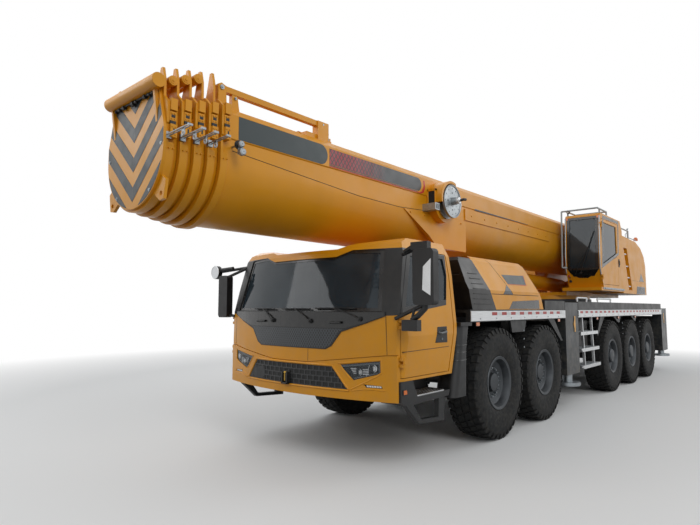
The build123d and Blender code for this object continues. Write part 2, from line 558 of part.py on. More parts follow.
# seats, dash and steering wheel, seen through the glass
SEAT_Y = 850.0
dash_form = cab_envelope(CAB_WALL + SLIDE_GAP, CAB_BOTTOM + CAB_WALL)
with BuildPart() as cab_interior:
    floor = CAB_BOTTOM + CAB_WALL
    add(dash_form)
    block((CAB_FRONT_X - 420, CAB_FRONT_X), (-DOOR_INNER_Y, DOOR_INNER_Y), (1350, 1620), mode=Mode.INTERSECT)
    for side in (1, -1):
        seat_x = CAB_REAR_X + 420
        block(limits(seat_x + 60, 480), limits(side * SEAT_Y, 500), (floor + 380, floor + 520))
        side_plate([(seat_x - 180, floor + 510), (seat_x - 60, floor + 510), (seat_x - 150, floor + 1150),
                    (seat_x - 250, floor + 1150)], limits(side * SEAT_Y, 480))
        block(limits(seat_x + 60, 300), limits(side * SEAT_Y, 300), (floor, floor + 380))
save(cab_interior, "cab_interior")

# ---------------------------------------------------------------- slew ring and turntable
with BuildPart() as slew_ring:
    rod((SLEW_X, 0, DECK_TOP), (SLEW_X, 0, SLEW_RING_SPLIT), SLEW_RING_RADIUS)
save(slew_ring, "slew_ring")

CHEEK_OUTER_Y = CHEEK_INNER_Y + CHEEK_THICKNESS
TURNTABLE_FRONT_X = SLEW_X + 800.0
with BuildPart() as turntable_frame:
    rod((SLEW_X, 0, SLEW_RING_SPLIT + SLIDE_GAP), (SLEW_X, 0, TURNTABLE_BOTTOM), SLEW_RING_RADIUS - 30)
    block((BOOM_PIVOT_X - 150, TURNTABLE_FRONT_X), (-CHEEK_OUTER_Y, CHEEK_OUTER_Y),
          (TURNTABLE_BOTTOM, TURNTABLE_BOTTOM + TURNTABLE_PLATE))
    for side_name, side in SIDES:
        cheek = sorted((side * CHEEK_INNER_Y, side * CHEEK_OUTER_Y))
        side_plate([(TURNTABLE_FRONT_X, TURNTABLE_BOTTOM), (TURNTABLE_FRONT_X, TURNTABLE_BOTTOM + 130),
                    (LUFF_FOOT[0] - 300, TURNTABLE_BOTTOM + 150), (BOOM_PIVOT_X + 600, BOOM_PIVOT_Z + 100),
                    (BOOM_PIVOT_X + 120, BOOM_PIVOT_Z + 220), (BOOM_PIVOT_X - 150, BOOM_PIVOT_Z + 220),
                    (BOOM_PIVOT_X - 300, BOOM_PIVOT_Z), (BOOM_PIVOT_X - 150, TURNTABLE_BOTTOM)], cheek)
        ear = sorted((side * 215, side * 275))
        side_plate([(LUFF_FOOT[0] - 180, TURNTABLE_BOTTOM), (LUFF_FOOT[0] - 120, LUFF_FOOT[1] + 110),
                    (LUFF_FOOT[0] + 120, LUFF_FOOT[1] + 110), (LUFF_FOOT[0] + 180, TURNTABLE_BOTTOM)], ear)
        rod((BOOM_PIVOT_X, side * (BOOM_HALF_WIDTH + 15), BOOM_PIVOT_Z),
            (BOOM_PIVOT_X, side * CHEEK_INNER_Y, BOOM_PIVOT_Z), BOOM_PIVOT_RADIUS + 60)
        rod((BOOM_PIVOT_X, side * BOOM_HALF_WIDTH, BOOM_PIVOT_Z),
            (BOOM_PIVOT_X, side * (CHEEK_OUTER_Y + 1), BOOM_PIVOT_Z), BOOM_PIVOT_RADIUS + RUNNING_GAP,
            mode=Mode.SUBTRACT)
    rod((LUFF_FOOT[0], -215, LUFF_FOOT[1]), (LUFF_FOOT[0], 215, LUFF_FOOT[1]), 60)
    # platform under the operator's cab
    block((UPPER_X[0], UPPER_X[1] - 20), (CHEEK_INNER_Y, UPPER_Y[1]), (UPPER_Z[0] - 70, UPPER_Z[0]))
save(turntable_frame, "turntable_frame")

# machinery covers either side of the cheeks behind the operator's cab
TAIL_FRONT_X = AXLE_1_X - 6750.0
TAIL_REAR_X = AXLE_1_X - 9300.0
TAIL_BOTTOM = TURNTABLE_BOTTOM + TURNTABLE_PLATE
TAIL_TOP = TURNTABLE_BOTTOM + 1250.0
TAIL_HALF_WIDTH = 1400.0
TAIL_CORNER = 300.0
TAIL_OUTLINE = ((TAIL_FRONT_X, TAIL_BOTTOM), (TAIL_FRONT_X, TAIL_TOP + 190), (TAIL_FRONT_X - 1320, TAIL_TOP + 150),
                (TAIL_REAR_X + 720, TAIL_TOP + 20), (TAIL_REAR_X + 420, TAIL_TOP - 170),
                (TAIL_REAR_X + 130, TAIL_TOP - 640), (TAIL_REAR_X + 100, TAIL_BOTTOM))
LADDER_TOP_X = AXLE_1_X - 6890.0
LADDER_WIDTH = 300.0
LADDER_LEAN = 370.0
LADDER_Z = (2190.0, 3190.0)
LADDER_DEPTH = 90.0
LADDER_RUNGS_Z = (2280.0, 2540.0, 2800.0, 3060.0)
with BuildPart() as tail_body:
    for side_name, side in SIDES:
        side_plate(TAIL_OUTLINE, sorted((side * CHEEK_OUTER_Y, side * TAIL_HALF_WIDTH)))
        # ladder recess, leaning back toward its foot
        recess = [(LADDER_TOP_X, LADDER_Z[1]), (LADDER_TOP_X - LADDER_WIDTH, LADDER_Z[1]),
                  (LADDER_TOP_X - LADDER_WIDTH - LADDER_LEAN, LADDER_Z[0]), (LADDER_TOP_X - LADDER_LEAN, LADDER_Z[0])]
        side_plate(recess, sorted((side * (TAIL_HALF_WIDTH - LADDER_DEPTH), side * (TAIL_HALF_WIDTH + 1))), mode=Mode.SUBTRACT)
    with BuildSketch(Plane.XY.offset(TAIL_BOTTOM - 1)) as tail_plan:
        with Locations(((TAIL_FRONT_X + TAIL_REAR_X) / 2 + 1000, 0)):
            RectangleRounded(TAIL_FRONT_X - TAIL_REAR_X + 2000, 2 * TAIL_HALF_WIDTH, TAIL_CORNER)
    extrude(tail_plan.sketch, amount=2000, mode=Mode.INTERSECT)
save(tail_body, "tail_body")

WINCH_X = BOOM_PIVOT_X + 350.0
WINCH_Z = TURNTABLE_BOTTOM + 295.0
WINCH_DRUM_RADIUS = 150.0
WINCH_FLANGE_RADIUS = 200.0
WINCH_DRUM_HALF = 450.0
WINCH_FLANGE = 40.0
with BuildPart() as hoist_winch:
    rod((WINCH_X, -WINCH_DRUM_HALF, WINCH_Z), (WINCH_X, WINCH_DRUM_HALF, WINCH_Z), WINCH_DRUM_RADIUS)
    for side_name, side in SIDES:
        flange_y = WINCH_DRUM_HALF + WINCH_FLANGE
        rod((WINCH_X, side * WINCH_DRUM_HALF, WINCH_Z), (WINCH_X, side * flange_y, WINCH_Z),
            WINCH_FLANGE_RADIUS)
        rod((WINCH_X, side * flange_y, WINCH_Z), (WINCH_X, side * CHEEK_INNER_Y, WINCH_Z), 110)
save(hoist_winch, "hoist_winch")

# ---------------------------------------------------------------- operator's cab
UPPER_WALL = 45.0
UPPER_DOOR_X = (UPPER_X[0] + 420.0, UPPER_X[1] - 70.0)
UPPER_DOOR_Z = (UPPER_Z[0] + 60.0, UPPER_Z[1] - 110.0)


def upper_envelope(inset):
    """Operator's cab form, or its inner space when inset by the wall."""
    with BuildPart() as envelope:
        side_plate([(UPPER_X[0] + inset, UPPER_Z[0] + inset), (UPPER_X[1] - 170 - inset, UPPER_Z[0] + inset),
                    (UPPER_X[1] - 20 - inset, 2560), (UPPER_X[1] - 10 - inset, 2900),
                    (UPPER_X[1] - 80 - inset, UPPER_Z[1] - 40 - inset), (UPPER_X[1] - 130 - inset, UPPER_Z[1] - inset),
                    (UPPER_X[0] + 150 + inset, UPPER_Z[1] - inset), (UPPER_X[0] + inset, UPPER_Z[1] - 220 - inset)],
                   (UPPER_Y[0] + inset, UPPER_Y[1] - inset))
    return envelope.part


upper_outer = upper_envelope(0)
upper_inner = upper_envelope(UPPER_WALL)
UPPER_DOOR = ((UPPER_DOOR_X[0], UPPER_DOOR_Z[0]), (UPPER_DOOR_X[1], UPPER_DOOR_Z[0]),
              (UPPER_DOOR_X[1], UPPER_DOOR_Z[1]), (UPPER_DOOR_X[0], UPPER_DOOR_Z[1]))
UPPER_DOOR_WINDOW = ((UPPER_DOOR_X[0] + 80, 2900), (UPPER_DOOR_X[1] - 80, 2620),
                     (UPPER_DOOR_X[1] - 80, UPPER_DOOR_Z[1] - 70), (UPPER_DOOR_X[0] + 80, UPPER_DOOR_Z[1] - 70))
UPPER_WINDSCREEN = ((UPPER_Y[0] + 70, 2600), (UPPER_Y[0] + 170, 2450), (UPPER_Y[1] - 170, 2450), (UPPER_Y[1] - 70, 2580),
                    (UPPER_Y[1] - 70, UPPER_Z[1] - 90), (UPPER_Y[0] + 70, UPPER_Z[1] - 90))
UPPER_INNER_WINDOW = ((UPPER_X[0] + 500, 2850), (UPPER_X[1] - 150, 2700),
                      (UPPER_X[1] - 150, UPPER_Z[1] - 160), (UPPER_X[0] + 500, UPPER_Z[1] - 160))
UPPER_DOOR_REACH = (UPPER_Y[1] - UPPER_WALL - 5, UPPER_Y[1] + 5)
UPPER_HINGE_X = UPPER_DOOR_X[1] - 12.0
UPPER_HINGE_Y = UPPER_Y[1] + 18.0
UPPER_HINGE_Z = (UPPER_Z[0] + 210.0, UPPER_Z[0] + 1310.0)

with BuildPart() as upper_cab_shell:
    add(upper_outer)
    add(upper_inner, mode=Mode.SUBTRACT)
    side_plate(UPPER_DOOR, UPPER_DOOR_REACH, mode=Mode.SUBTRACT)
    side_plate(UPPER_INNER_WINDOW, (UPPER_Y[0] - 5, UPPER_Y[0] + UPPER_WALL + 5), mode=Mode.SUBTRACT)
    cross_plate(UPPER_WINDSCREEN, (UPPER_X[1] - 180, UPPER_X[1] + 5), mode=Mode.SUBTRACT)
    for hinge_z in UPPER_HINGE_Z:
        fixed_hinge(UPPER_HINGE_X, UPPER_HINGE_Y, hinge_z, UPPER_HINGE_X + 30, UPPER_Y[1] - 10)
save(upper_cab_shell, "upper_cab_shell")

upper_pane_outer = upper_envelope(GLASS_INSET)
upper_pane_inner = upper_envelope(GLASS_INSET + GLASS_THICKNESS)
with BuildPart() as upper_cab_windows:
    side_plate(UPPER_INNER_WINDOW, (UPPER_Y[0] - 5, UPPER_Y[0] + UPPER_WALL + 5))
    cross_plate(UPPER_WINDSCREEN, (UPPER_X[1] - 180, UPPER_X[1] + 5))
with BuildPart() as upper_cab_glass:
    add(upper_pane_outer)
    add(upper_pane_inner, mode=Mode.SUBTRACT)
    add(upper_cab_windows.part, mode=Mode.INTERSECT)
save(upper_cab_glass, "upper_cab_glass")

with BuildPart() as upper_cab_door:
    add(upper_outer)
    add(upper_inner, mode=Mode.SUBTRACT)
    side_plate(inset_outline(UPPER_DOOR, DOOR_GAP, DOOR_GAP), UPPER_DOOR_REACH, mode=Mode.INTERSECT)
    side_plate(UPPER_DOOR_WINDOW, UPPER_DOOR_REACH, mode=Mode.SUBTRACT)
    for hinge_z in UPPER_HINGE_Z:
        swinging_hinge(UPPER_HINGE_X, UPPER_HINGE_Y, hinge_z, UPPER_HINGE_X - 36, UPPER_Y[1] - 10)
save(upper_cab_door, "upper_cab_door")

with BuildPart() as upper_door_glass:
    add(upper_pane_outer)
    add(upper_pane_inner, mode=Mode.SUBTRACT)
    side_plate(UPPER_DOOR_WINDOW, UPPER_DOOR_REACH, mode=Mode.INTERSECT)
save(upper_door_glass, "upper_door_glass")

with BuildPart() as upper_cab_interior:
    seat_x = UPPER_X[0] + 620
    seat_y = sum(UPPER_Y) / 2
    floor = UPPER_Z[0] + UPPER_WALL
    block(limits(seat_x, 420), limits(seat_y, 440), (floor, floor + 480))
    side_plate([(seat_x - 200, floor + 480), (seat_x - 90, floor + 480), (seat_x - 180, floor + 1150),
                (seat_x - 270, floor + 1150)], limits(seat_y, 440))
    block((UPPER_X[1] - 460, UPPER_X[1] - 240), limits(seat_y, 420), (floor, floor + 500))
save(upper_cab_interior, "upper_cab_interior")

# ---------------------------------------------------------------- boom
def boom_outline(half_width, top):
    """Sketches a boom section: chamfered top, upright sides that step in at a fold, round underside."""
    low = half_width - BOOM_FOLD_IN
    half = ((low, BOOM_AXIS_Z), (low, BOOM_FOLD_Z - 10), (half_width, BOOM_FOLD_Z), (half_width, top - BOOM_CHAMFER),
            (half_width - BOOM_CHAMFER, top))
    with BuildLine() as edge:
        Polyline(*[(-y, z) for y, z in half] + list(reversed(half)))
        ThreePointArc((low, BOOM_AXIS_Z), (0, BOOM_AXIS_Z - low), (-low, BOOM_AXIS_Z))
    make_face(edge.edges())


def boom_tube(half_width, top, start, end, wall):
    """A hollow boom section between two stations."""
    with BuildSketch(Plane.YZ.offset(start)) as outside:
        boom_outline(half_width, top)
    extrude(outside.sketch, amount=end - start)
    with BuildSketch(Plane.YZ.offset(start - 1)) as inside:
        boom_outline(half_width - wall, top - wall)
    extrude(inside.sketch, amount=end - start + 2, mode=Mode.SUBTRACT)


COLLAR_PLATE = 25.0                                 # the upright plate at the front of each collar
RING_LENGTH = 100.0
RING_TOP = BOOM_AXIS_Z + 60.0
RING_CHAMFER = 24.0
FIN_ROOT_Y = (300.0, 462.0)
# fittings on each side of a collar: low and high edge below the section's top, how far they stand out
COLLAR_FITTINGS = ((118.0, 12.0, 60.0), (212.0, 128.0, 46.0), (362.0, 245.0, 60.0))
COLLAR_TUBE_RADIUS = 45.0
COLLAR_TUBES = {1: BOOM_TOP + 201.0, 2: BOOM_TOP + 148.0, 3: BOOM_TOP + 97.0}      # cross tube's height by collar
COLLAR_TUBE_HALF = 470.0
HEAD_LUG = ((300, 2790), (440, 2930), (535, 2870), (505, 2700), (440, 2690))
HEAD_LUG_EYE = (462.0, 2752.0)
HEAD_LUG_BORE = 22.0


def collar_ring(half_width, top, start, length):
    """A length of the boom's outline, cut off above the ring's top."""
    with BuildSketch(Plane.YZ.offset(start)) as ring:
        boom_outline(half_width, top)
        with Locations((0, RING_TOP - 1000)):
            Rectangle(2000, 2000, mode=Mode.INTERSECT)
    extrude(ring.sketch, amount=length)


def boom_collar(index):
    """Collar at the front end of a boom section: plate with pointed fins, ring, side fittings and cross tube."""
    half_width = BOOM_HALF_WIDTH - index * BOOM_STEP
    top = BOOM_TOP - index * BOOM_STEP
    start = BOOM_COLLAR_X + index * COLLAR_PITCH
    front = start + COLLAR_THICKNESS
    fin_top = BOOM_TOP + FIN_RISE - 30 * index
    with BuildSketch(Plane.YZ.offset(front - COLLAR_PLATE)) as plate:
        boom_outline(half_width + COLLAR_RISE, top + COLLAR_RISE)
    extrude(plate.sketch, amount=COLLAR_PLATE)
    collar_ring(half_width + COLLAR_RISE, top, front - RING_LENGTH + RING_CHAMFER, RING_LENGTH - 2 * RING_CHAMFER)
    collar_ring(half_width + COLLAR_RISE - RING_CHAMFER, top, front - RING_LENGTH, RING_LENGTH)
    for side in (1, -1):
        cross_plate([(side * FIN_ROOT_Y[0], top), (side * FIN_ROOT_Y[1], top - 30), (side * (FIN_ROOT_Y[1] - 8), fin_top - 110),
                     (side * 425, fin_top), (side * 390, fin_top), (side * 345, fin_top - 190)],
                    (front - COLLAR_PLATE, front))
        for low, high, out in COLLAR_FITTINGS:
            block((start - 30, front - COLLAR_PLATE), sorted((side * (half_width - BOOM_CHAMFER), side * (half_width + out))),
                  (top - low, top - high))
    if index == SECTION_COUNT - 1:
        for side in (1, -1):
            cross_plate([(side * y, z) for y, z in HEAD_LUG], (front - 30, front))
            rod((front - 31, side * HEAD_LUG_EYE[0], HEAD_LUG_EYE[1]), (front + 1, side * HEAD_LUG_EYE[0], HEAD_LUG_EYE[1]),
                HEAD_LUG_BORE, mode=Mode.SUBTRACT)
    if index in COLLAR_TUBES:
        tube = (front + COLLAR_TUBE_RADIUS - 1, COLLAR_TUBES[index])
        rod((tube[0], -COLLAR_TUBE_HALF, tube[1]), (tube[0], COLLAR_TUBE_HALF, tube[1]), COLLAR_TUBE_RADIUS)
    with BuildSketch(Plane.YZ.offset(start - RING_LENGTH)) as inside:
        boom_outline(half_width - BOOM_WALL, top - BOOM_WALL)
    extrude(inside.sketch, amount=RING_LENGTH + COLLAR_THICKNESS + 2, mode=Mode.SUBTRACT)
    # slide pads that guide the next section
    for side in (1, -1):
        block((start, start + COLLAR_THICKNESS),
              sorted((side * (half_width - BOOM_STEP + SLIDE_GAP), side * (half_width - BOOM_WALL))),
              (BOOM_FOLD_Z + 20, BOOM_FOLD_Z + 90))
        block((start, start + COLLAR_THICKNESS), limits(side * 250, 160),
              (top - BOOM_STEP + SLIDE_GAP, top - BOOM_WALL))


LUG_Y = (150.0, 200.0)
LUG_ROOT_Z = BOOM_AXIS_Z - ((BOOM_HALF_WIDTH - BOOM_FOLD_IN - BOOM_WALL) ** 2 - LUG_Y[0] ** 2) ** 0.5
# linkage along the top: two bars between the head lugs and a cross frame, with a hook behind them
LINK_Y = 440.0
LINK_BAR_Z = (BOOM_TOP + 170.0, BOOM_TOP + 230.0)
LINK_BAR_X = (AXLE_1_X + 2400.0, AXLE_1_X + 3862.0)
LINK_HEAD = ((AXLE_1_X + 3800, BOOM_TOP - 5), (AXLE_1_X + 3810, LINK_BAR_Z[1]), (AXLE_1_X + 3865, LINK_BAR_Z[1] + 20),
             (AXLE_1_X + 3900, LINK_BAR_Z[1]), (AXLE_1_X + 3900, BOOM_TOP - 5))
LINK_STRUT = ((AXLE_1_X + 3640, BOOM_TOP - 5), (AXLE_1_X + 3670, LINK_BAR_Z[0]), (AXLE_1_X + 3735, LINK_BAR_Z[0]),
              (AXLE_1_X + 3735, BOOM_TOP - 5))
LINK_FRAME_X = (AXLE_1_X + 2300.0, AXLE_1_X + 2700.0)
LINK_HOOK = ((AXLE_1_X + 1860, BOOM_TOP - 5), (AXLE_1_X + 1860, BOOM_TOP + 225), (AXLE_1_X + 1910, BOOM_TOP + 225),
             (AXLE_1_X + 1930, BOOM_TOP + 80), (AXLE_1_X + 2030, BOOM_TOP + 60), (AXLE_1_X + 2030, BOOM_TOP - 5))
# plates on the sides: gusset over the cylinder's lugs, and the long ledge
GUSSET = ((AXLE_1_X + 950, 3110), (AXLE_1_X - 750, 3130), (AXLE_1_X - 750, 2640), (AXLE_1_X + 100, 2640),
          (AXLE_1_X + 330, 2800))
GUSSET_Y = (BOOM_HALF_WIDTH - 60, BOOM_HALF_WIDTH)
LEDGE = ((AXLE_1_X - 740, 3340), (AXLE_1_X - 4310, 3340), (AXLE_1_X - 4370, 3160), (AXLE_1_X - 740, 3160))
LEDGE_Y = (BOOM_HALF_WIDTH - 15, BOOM_HALF_WIDTH + 6)
with BuildPart() as boom_hollow:
    with BuildSketch(Plane.YZ.offset(AXLE_1_X - 5000)) as hollow_outline:
        boom_outline(BOOM_HALF_WIDTH - BOOM_WALL, BOOM_TOP - BOOM_WALL)
    extrude(hollow_outline.sketch, amount=6500)
# reel's housing on the boom's left side, open below and behind
REEL_X = AXLE_1_X + 60.0
REEL_Z = BOOM_AXIS_Z + 160.0
REEL_RADIUS = 245.0
REEL_FLANGES_Y = (700.0, 790.0)
REEL_BASE_Y = 690.0
REEL_GUARD_RADIUS = 300.0
GUARD_Y = (REEL_BASE_Y, REEL_FLANGES_Y[1] + 30.0)
with BuildPart() as reel_guard:
    rod((REEL_X, BOOM_HALF_WIDTH - 40, REEL_Z), (REEL_X, GUARD_Y[1] - 8, REEL_Z), REEL_GUARD_RADIUS)
    rod((REEL_X, GUARD_Y[0], REEL_Z), (REEL_X, GUARD_Y[1], REEL_Z), REEL_RADIUS + 18, mode=Mode.SUBTRACT)
    block(limits(REEL_X, 700), GUARD_Y, (REEL_Z - 320, REEL_Z - 40), mode=Mode.SUBTRACT)
    block((REEL_X - 320, REEL_X - 110), GUARD_Y, (REEL_Z - 320, REEL_Z + 320), mode=Mode.SUBTRACT)
with BuildPart() as boom_base:
    boom_tube(BOOM_HALF_WIDTH, BOOM_TOP, BOOM_REAR_X, BOOM_COLLAR_X + COLLAR_THICKNESS, BOOM_WALL)
    boom_collar(0)
    for side_name, side in SIDES:
        side_plate(LINK_HEAD, limits(side * LINK_Y, 60))
        side_plate(LINK_STRUT, limits(side * LINK_Y, 50))
        block(LINK_BAR_X, limits(side * LINK_Y, 60), LINK_BAR_Z)
        block((LINK_FRAME_X[0] + 60, LINK_FRAME_X[0] + 240), limits(side * LINK_Y, 90), (BOOM_TOP - 5, LINK_BAR_Z[1]))
        side_plate(GUSSET, sorted((side * GUSSET_Y[0], side * GUSSET_Y[1])))
        side_plate(LEDGE, sorted((side * LEDGE_Y[0], side * LEDGE_Y[1])))
    block(LINK_FRAME_X, (-LINK_Y - 20, LINK_Y + 20), (BOOM_TOP - 5, BOOM_TOP + 70))
    side_plate(LINK_HOOK, (-60, 60))
    add(reel_guard.part)
    add(boom_hollow.part, mode=Mode.SUBTRACT)
    for side_name, side in SIDES:
        # lugs that carry the luffing cylinder's eye, open toward the ground
        side_plate([(LUFF_EYE[0] - 420, LUG_ROOT_Z), (LUFF_EYE[0] - 120, LUFF_EYE[1] - 110),
                    (LUFF_EYE[0] + 120, LUFF_EYE[1] - 110), (LUFF_EYE[0] + 420, LUG_ROOT_Z)],
                   sorted((side * LUG_Y[0], side * LUG_Y[1])))
        rod((BOOM_PIVOT_X, side * (BOOM_HALF_WIDTH - BOOM_FOLD_IN - BOOM_WALL), BOOM_PIVOT_Z),
            (BOOM_PIVOT_X, side * (CHEEK_OUTER_Y - 1), BOOM_PIVOT_Z), BOOM_PIVOT_RADIUS)
save(boom_base, "boom_base")

SECTION_REAR_STEP = 60.0
# the head's end panel stands against the last collar
HEAD_PANEL_X = BOOM_COLLAR_X + (SECTION_COUNT - 1) * COLLAR_PITCH + COLLAR_THICKNESS + SLIDE_GAP
HEAD_TUBE_X = HEAD_PANEL_X + 68.0
HEAD_TUBE_Z = BOOM_TOP + 50.0
HEAD_TUBE_RADIUS = 65.0
PANEL_BOTTOM = 2662.0
PANEL_EDGE = ((-530, 3190), (-530, 3330), (-420, 3706), (420, 3706), (530, 3330), (530, 3190))
for index in range(1, SECTION_COUNT + 1):
    half_width = BOOM_HALF_WIDTH - index * BOOM_STEP
    top = BOOM_TOP - index * BOOM_STEP
    with BuildPart() as boom_section:
        collar_x = BOOM_COLLAR_X + index * COLLAR_PITCH
        if index == SECTION_COUNT:
            collar_x = HEAD_PANEL_X - COLLAR_THICKNESS
        boom_tube(half_width, top, BOOM_REAR_X + index * SECTION_REAR_STEP, collar_x + COLLAR_THICKNESS, BOOM_WALL)
        if index < SECTION_COUNT:
            boom_collar(index)
        else:
            panel_x = HEAD_PANEL_X
            with BuildSketch(Plane.YZ.offset(panel_x)) as panel:
                with BuildLine() as rim:
                    Polyline(*PANEL_EDGE)
                    ThreePointArc(PANEL_EDGE[0], (0, PANEL_BOTTOM), PANEL_EDGE[-1])
                make_face(rim.edges())
            extrude(panel.sketch, amount=BOOM_PANEL_THICKNESS)
            tube_x = HEAD_TUBE_X
            rod((tube_x, -440, HEAD_TUBE_Z), (tube_x, 492, HEAD_TUBE_Z), HEAD_TUBE_RADIUS)
            for side in (1, -1):
                side_plate([(panel_x, top - 200), (panel_x, HEAD_TUBE_Z - 30), (tube_x, HEAD_TUBE_Z - 20),
                            (tube_x, HEAD_TUBE_Z - 60), (panel_x + BOOM_PANEL_THICKNESS, top - 200)],
                           limits(side * 400, 30))
    save(boom_section, f"boom_section_{index}")

# ---------------------------------------------------------------- luffing cylinder
luff_length = hypot(LUFF_EYE[0] - LUFF_FOOT[0], LUFF_EYE[1] - LUFF_FOOT[1])
luff_slope = degrees(atan2(LUFF_EYE[1] - LUFF_FOOT[1], LUFF_EYE[0] - LUFF_FOOT[0]))
luff_line = Plane(origin=(LUFF_FOOT[0], 0, LUFF_FOOT[1]), x_dir=(0, 1, 0),
                  z_dir=(cos(radians(luff_slope)), 0, sin(radians(luff_slope))))
BARREL_LENGTH = luff_length - 480.0
with BuildPart() as luff_barrel:
    rod((LUFF_FOOT[0], -200, LUFF_FOOT[1]), (LUFF_FOOT[0], 200, LUFF_FOOT[1]), 110)
    with BuildSketch(luff_line.offset(60)) as barrel:
        Circle(LUFF_BARREL_RADIUS)
    extrude(barrel.sketch, amount=BARREL_LENGTH - 60)
    with BuildSketch(luff_line.offset(200)) as barrel_bore:
        Circle(LUFF_ROD_RADIUS + RUNNING_GAP)
    extrude(barrel_bore.sketch, amount=BARREL_LENGTH, mode=Mode.SUBTRACT)
    rod((LUFF_FOOT[0], -210, LUFF_FOOT[1]), (LUFF_FOOT[0], 210, LUFF_FOOT[1]), 60 + RUNNING_GAP,
        mode=Mode.SUBTRACT)
save(luff_barrel, "luff_barrel")

with BuildPart() as luff_rod:
    with BuildSketch(luff_line.offset(210)) as piston_rod:
        Circle(LUFF_ROD_RADIUS)
    extrude(piston_rod.sketch, amount=luff_length - 210 - 60)
    rod((LUFF_EYE[0], -130, LUFF_EYE[1]), (LUFF_EYE[0], 130, LUFF_EYE[1]), LUFF_EYE_RADIUS)
    rod((LUFF_EYE[0], -140, LUFF_EYE[1]), (LUFF_EYE[0], 140, LUFF_EYE[1]), 55, mode=Mode.SUBTRACT)
save(luff_rod, "luff_rod")

# ---------------------------------------------------------------- trim and fittings on the carrier
# column between the front wheel and the door: height, middle X, length and width of its plan
FENDER_COLUMN = ((SKIRT_BOTTOM - 45, AXLE_1_X + 935.0, 280.0, 270.0), (1250.0, AXLE_1_X + 985.0, 240.0, 280.0),
                 (690.0, AXLE_1_X + 1075.0, 350.0, 290.0))
FENDER_COLUMN_Y = 1330.0
FENDER_CORNER = 90.0
FLAP_Y = (1435.0, 1465.0)
# flaps between the wheels, each hung under the skirt: front and rear at the top, rear and front at the foot
FLAPS = ((-365.0, -925.0, -840.0, -420.0, 1405.0), (-5540.0, -6140.0, -6010.0, -5900.0, 1438.0),
         (-6990.0, -7530.0, -7430.0, -7370.0, 1438.0))
# slanted bars behind the second and ahead of the third wheel: two points at the top, two at the foot
SLANTED_BARS = ((-1800.0, -2060.0, -2430.0, -2350.0, 1200.0), (-4600.0, -4890.0, -4420.0, -4360.0, 1209.0))
with BuildPart() as mudguards:
    for side_name, side in SIDES:
        for (high, high_x, high_length, high_width), (low, low_x, low_length, low_width) in zip(
                FENDER_COLUMN, FENDER_COLUMN[1:]):
            with BuildSketch(Plane.XY.offset(low)) as foot:
                with Locations((low_x, side * FENDER_COLUMN_Y)):
                    RectangleRounded(low_length, low_width, FENDER_CORNER)
            with BuildSketch(Plane.XY.offset(high)) as head:
                with Locations((high_x, side * FENDER_COLUMN_Y)):
                    RectangleRounded(high_length, high_width, FENDER_CORNER)
            loft([foot.sketch, head.sketch], ruled=True)
        block((FRONT_DECK_X[1] - 60, AXLE_1_X + 1070), sorted((side * 1000, side * 1480)),
              (SKIRT_BOTTOM - 45, SKIRT_BOTTOM))
        for front, rear, foot_rear, foot_front, foot_z in FLAPS + SLANTED_BARS:
            side_plate([(AXLE_1_X + front, SKIRT_BOTTOM), (AXLE_1_X + rear, SKIRT_BOTTOM),
                        (AXLE_1_X + foot_rear, foot_z), (AXLE_1_X + foot_front, foot_z)],
                       sorted((side * FLAP_Y[0], side * FLAP_Y[1])))
save(mudguards, "mudguards")

STEP_X = (AXLE_1_X - 4360.0, AXLE_1_X - 3340.0)
STEP_TREADS = ((690.0, -110.0), (1005.0, -55.0), (1310.0, 0.0))     # height, how far back of the top tread
STEP_FLOOR_Z = 800.0                                # floor of the box step under the cab door
CAB_TREAD_X = (DOOR_REAR_X + 235.0, DOOR_FRONT_X - 285.0)
CAB_TREAD_Y = (1200.0, 1430.0)
with BuildPart() as access_steps:
    for side_name, side in SIDES:
        for tread_z, lean in STEP_TREADS:
            block((STEP_X[0] + lean, STEP_X[1] + lean), sorted((side * 1250, side * 1480)), (tread_z - 60, tread_z))
        for post_x in (STEP_X[0] + 210, STEP_X[1] - 250):
            side_plate([(post_x, SKIRT_BOTTOM), (post_x + 35, SKIRT_BOTTOM), (post_x - 65, STEP_TREADS[0][0] - 60),
                        (post_x - 100, STEP_TREADS[0][0] - 60)], sorted((side * 1400, side * 1440)))
        block(CAB_TREAD_X, sorted((side * CAB_TREAD_Y[0], side * CAB_TREAD_Y[1])), (STEP_FLOOR_Z, STEP_FLOOR_Z + 12))
save(access_steps, "access_steps")

with BuildPart() as tanks:
    for side_name, side in SIDES:
        block((STEP_X[0] - 110, STEP_X[1] - 110), sorted((side * FRAME_HALF_WIDTH, side * 1240)), (880, 1500))
save(tanks, "tanks")

# mirrors: (side, housing Y, housing Z, arms), an arm being its foot on the pillar and its head on the housing
MIRROR_X = (DOOR_FRONT_X + 10.0, DOOR_FRONT_X + 110.0)
MIRROR_CORNER = 45.0
MIRROR_ARM_RADIUS = 20.0
LOW_ARM_FOOT = (CAB_CORNER_X - 5, 1385.0, 1640.0)
HIGH_ARM_FOOT = (CAB_CORNER_X - 200, 1335.0, 2330.0)
MIRRORS = (
    (1, (1650.0, 1900.0), (1780.0, 2350.0), ((LOW_ARM_FOOT, (DOOR_FRONT_X + 45, 1760.0, 1790.0)),
                                            (HIGH_ARM_FOOT, (DOOR_FRONT_X + 45, 1700.0, 2375.0)))),
    (-1, (1490.0, 1690.0), (1620.0, 2210.0), ((LOW_ARM_FOOT, (DOOR_FRONT_X + 45, 1560.0, 1660.0)),
                                             (HIGH_ARM_FOOT, (DOOR_FRONT_X + 45, 1560.0, 2190.0)))),
)
MIRROR_CAP_Z = 75.0                                 # head of the upper arm, over the left housing
KERB_MIRROR = ((DOOR_FRONT_X + 15.0, DOOR_FRONT_X + 95.0), (1500.0, 1690.0), (1516.0, 1630.0))
ROUND_MIRROR_RADIUS = 95.0
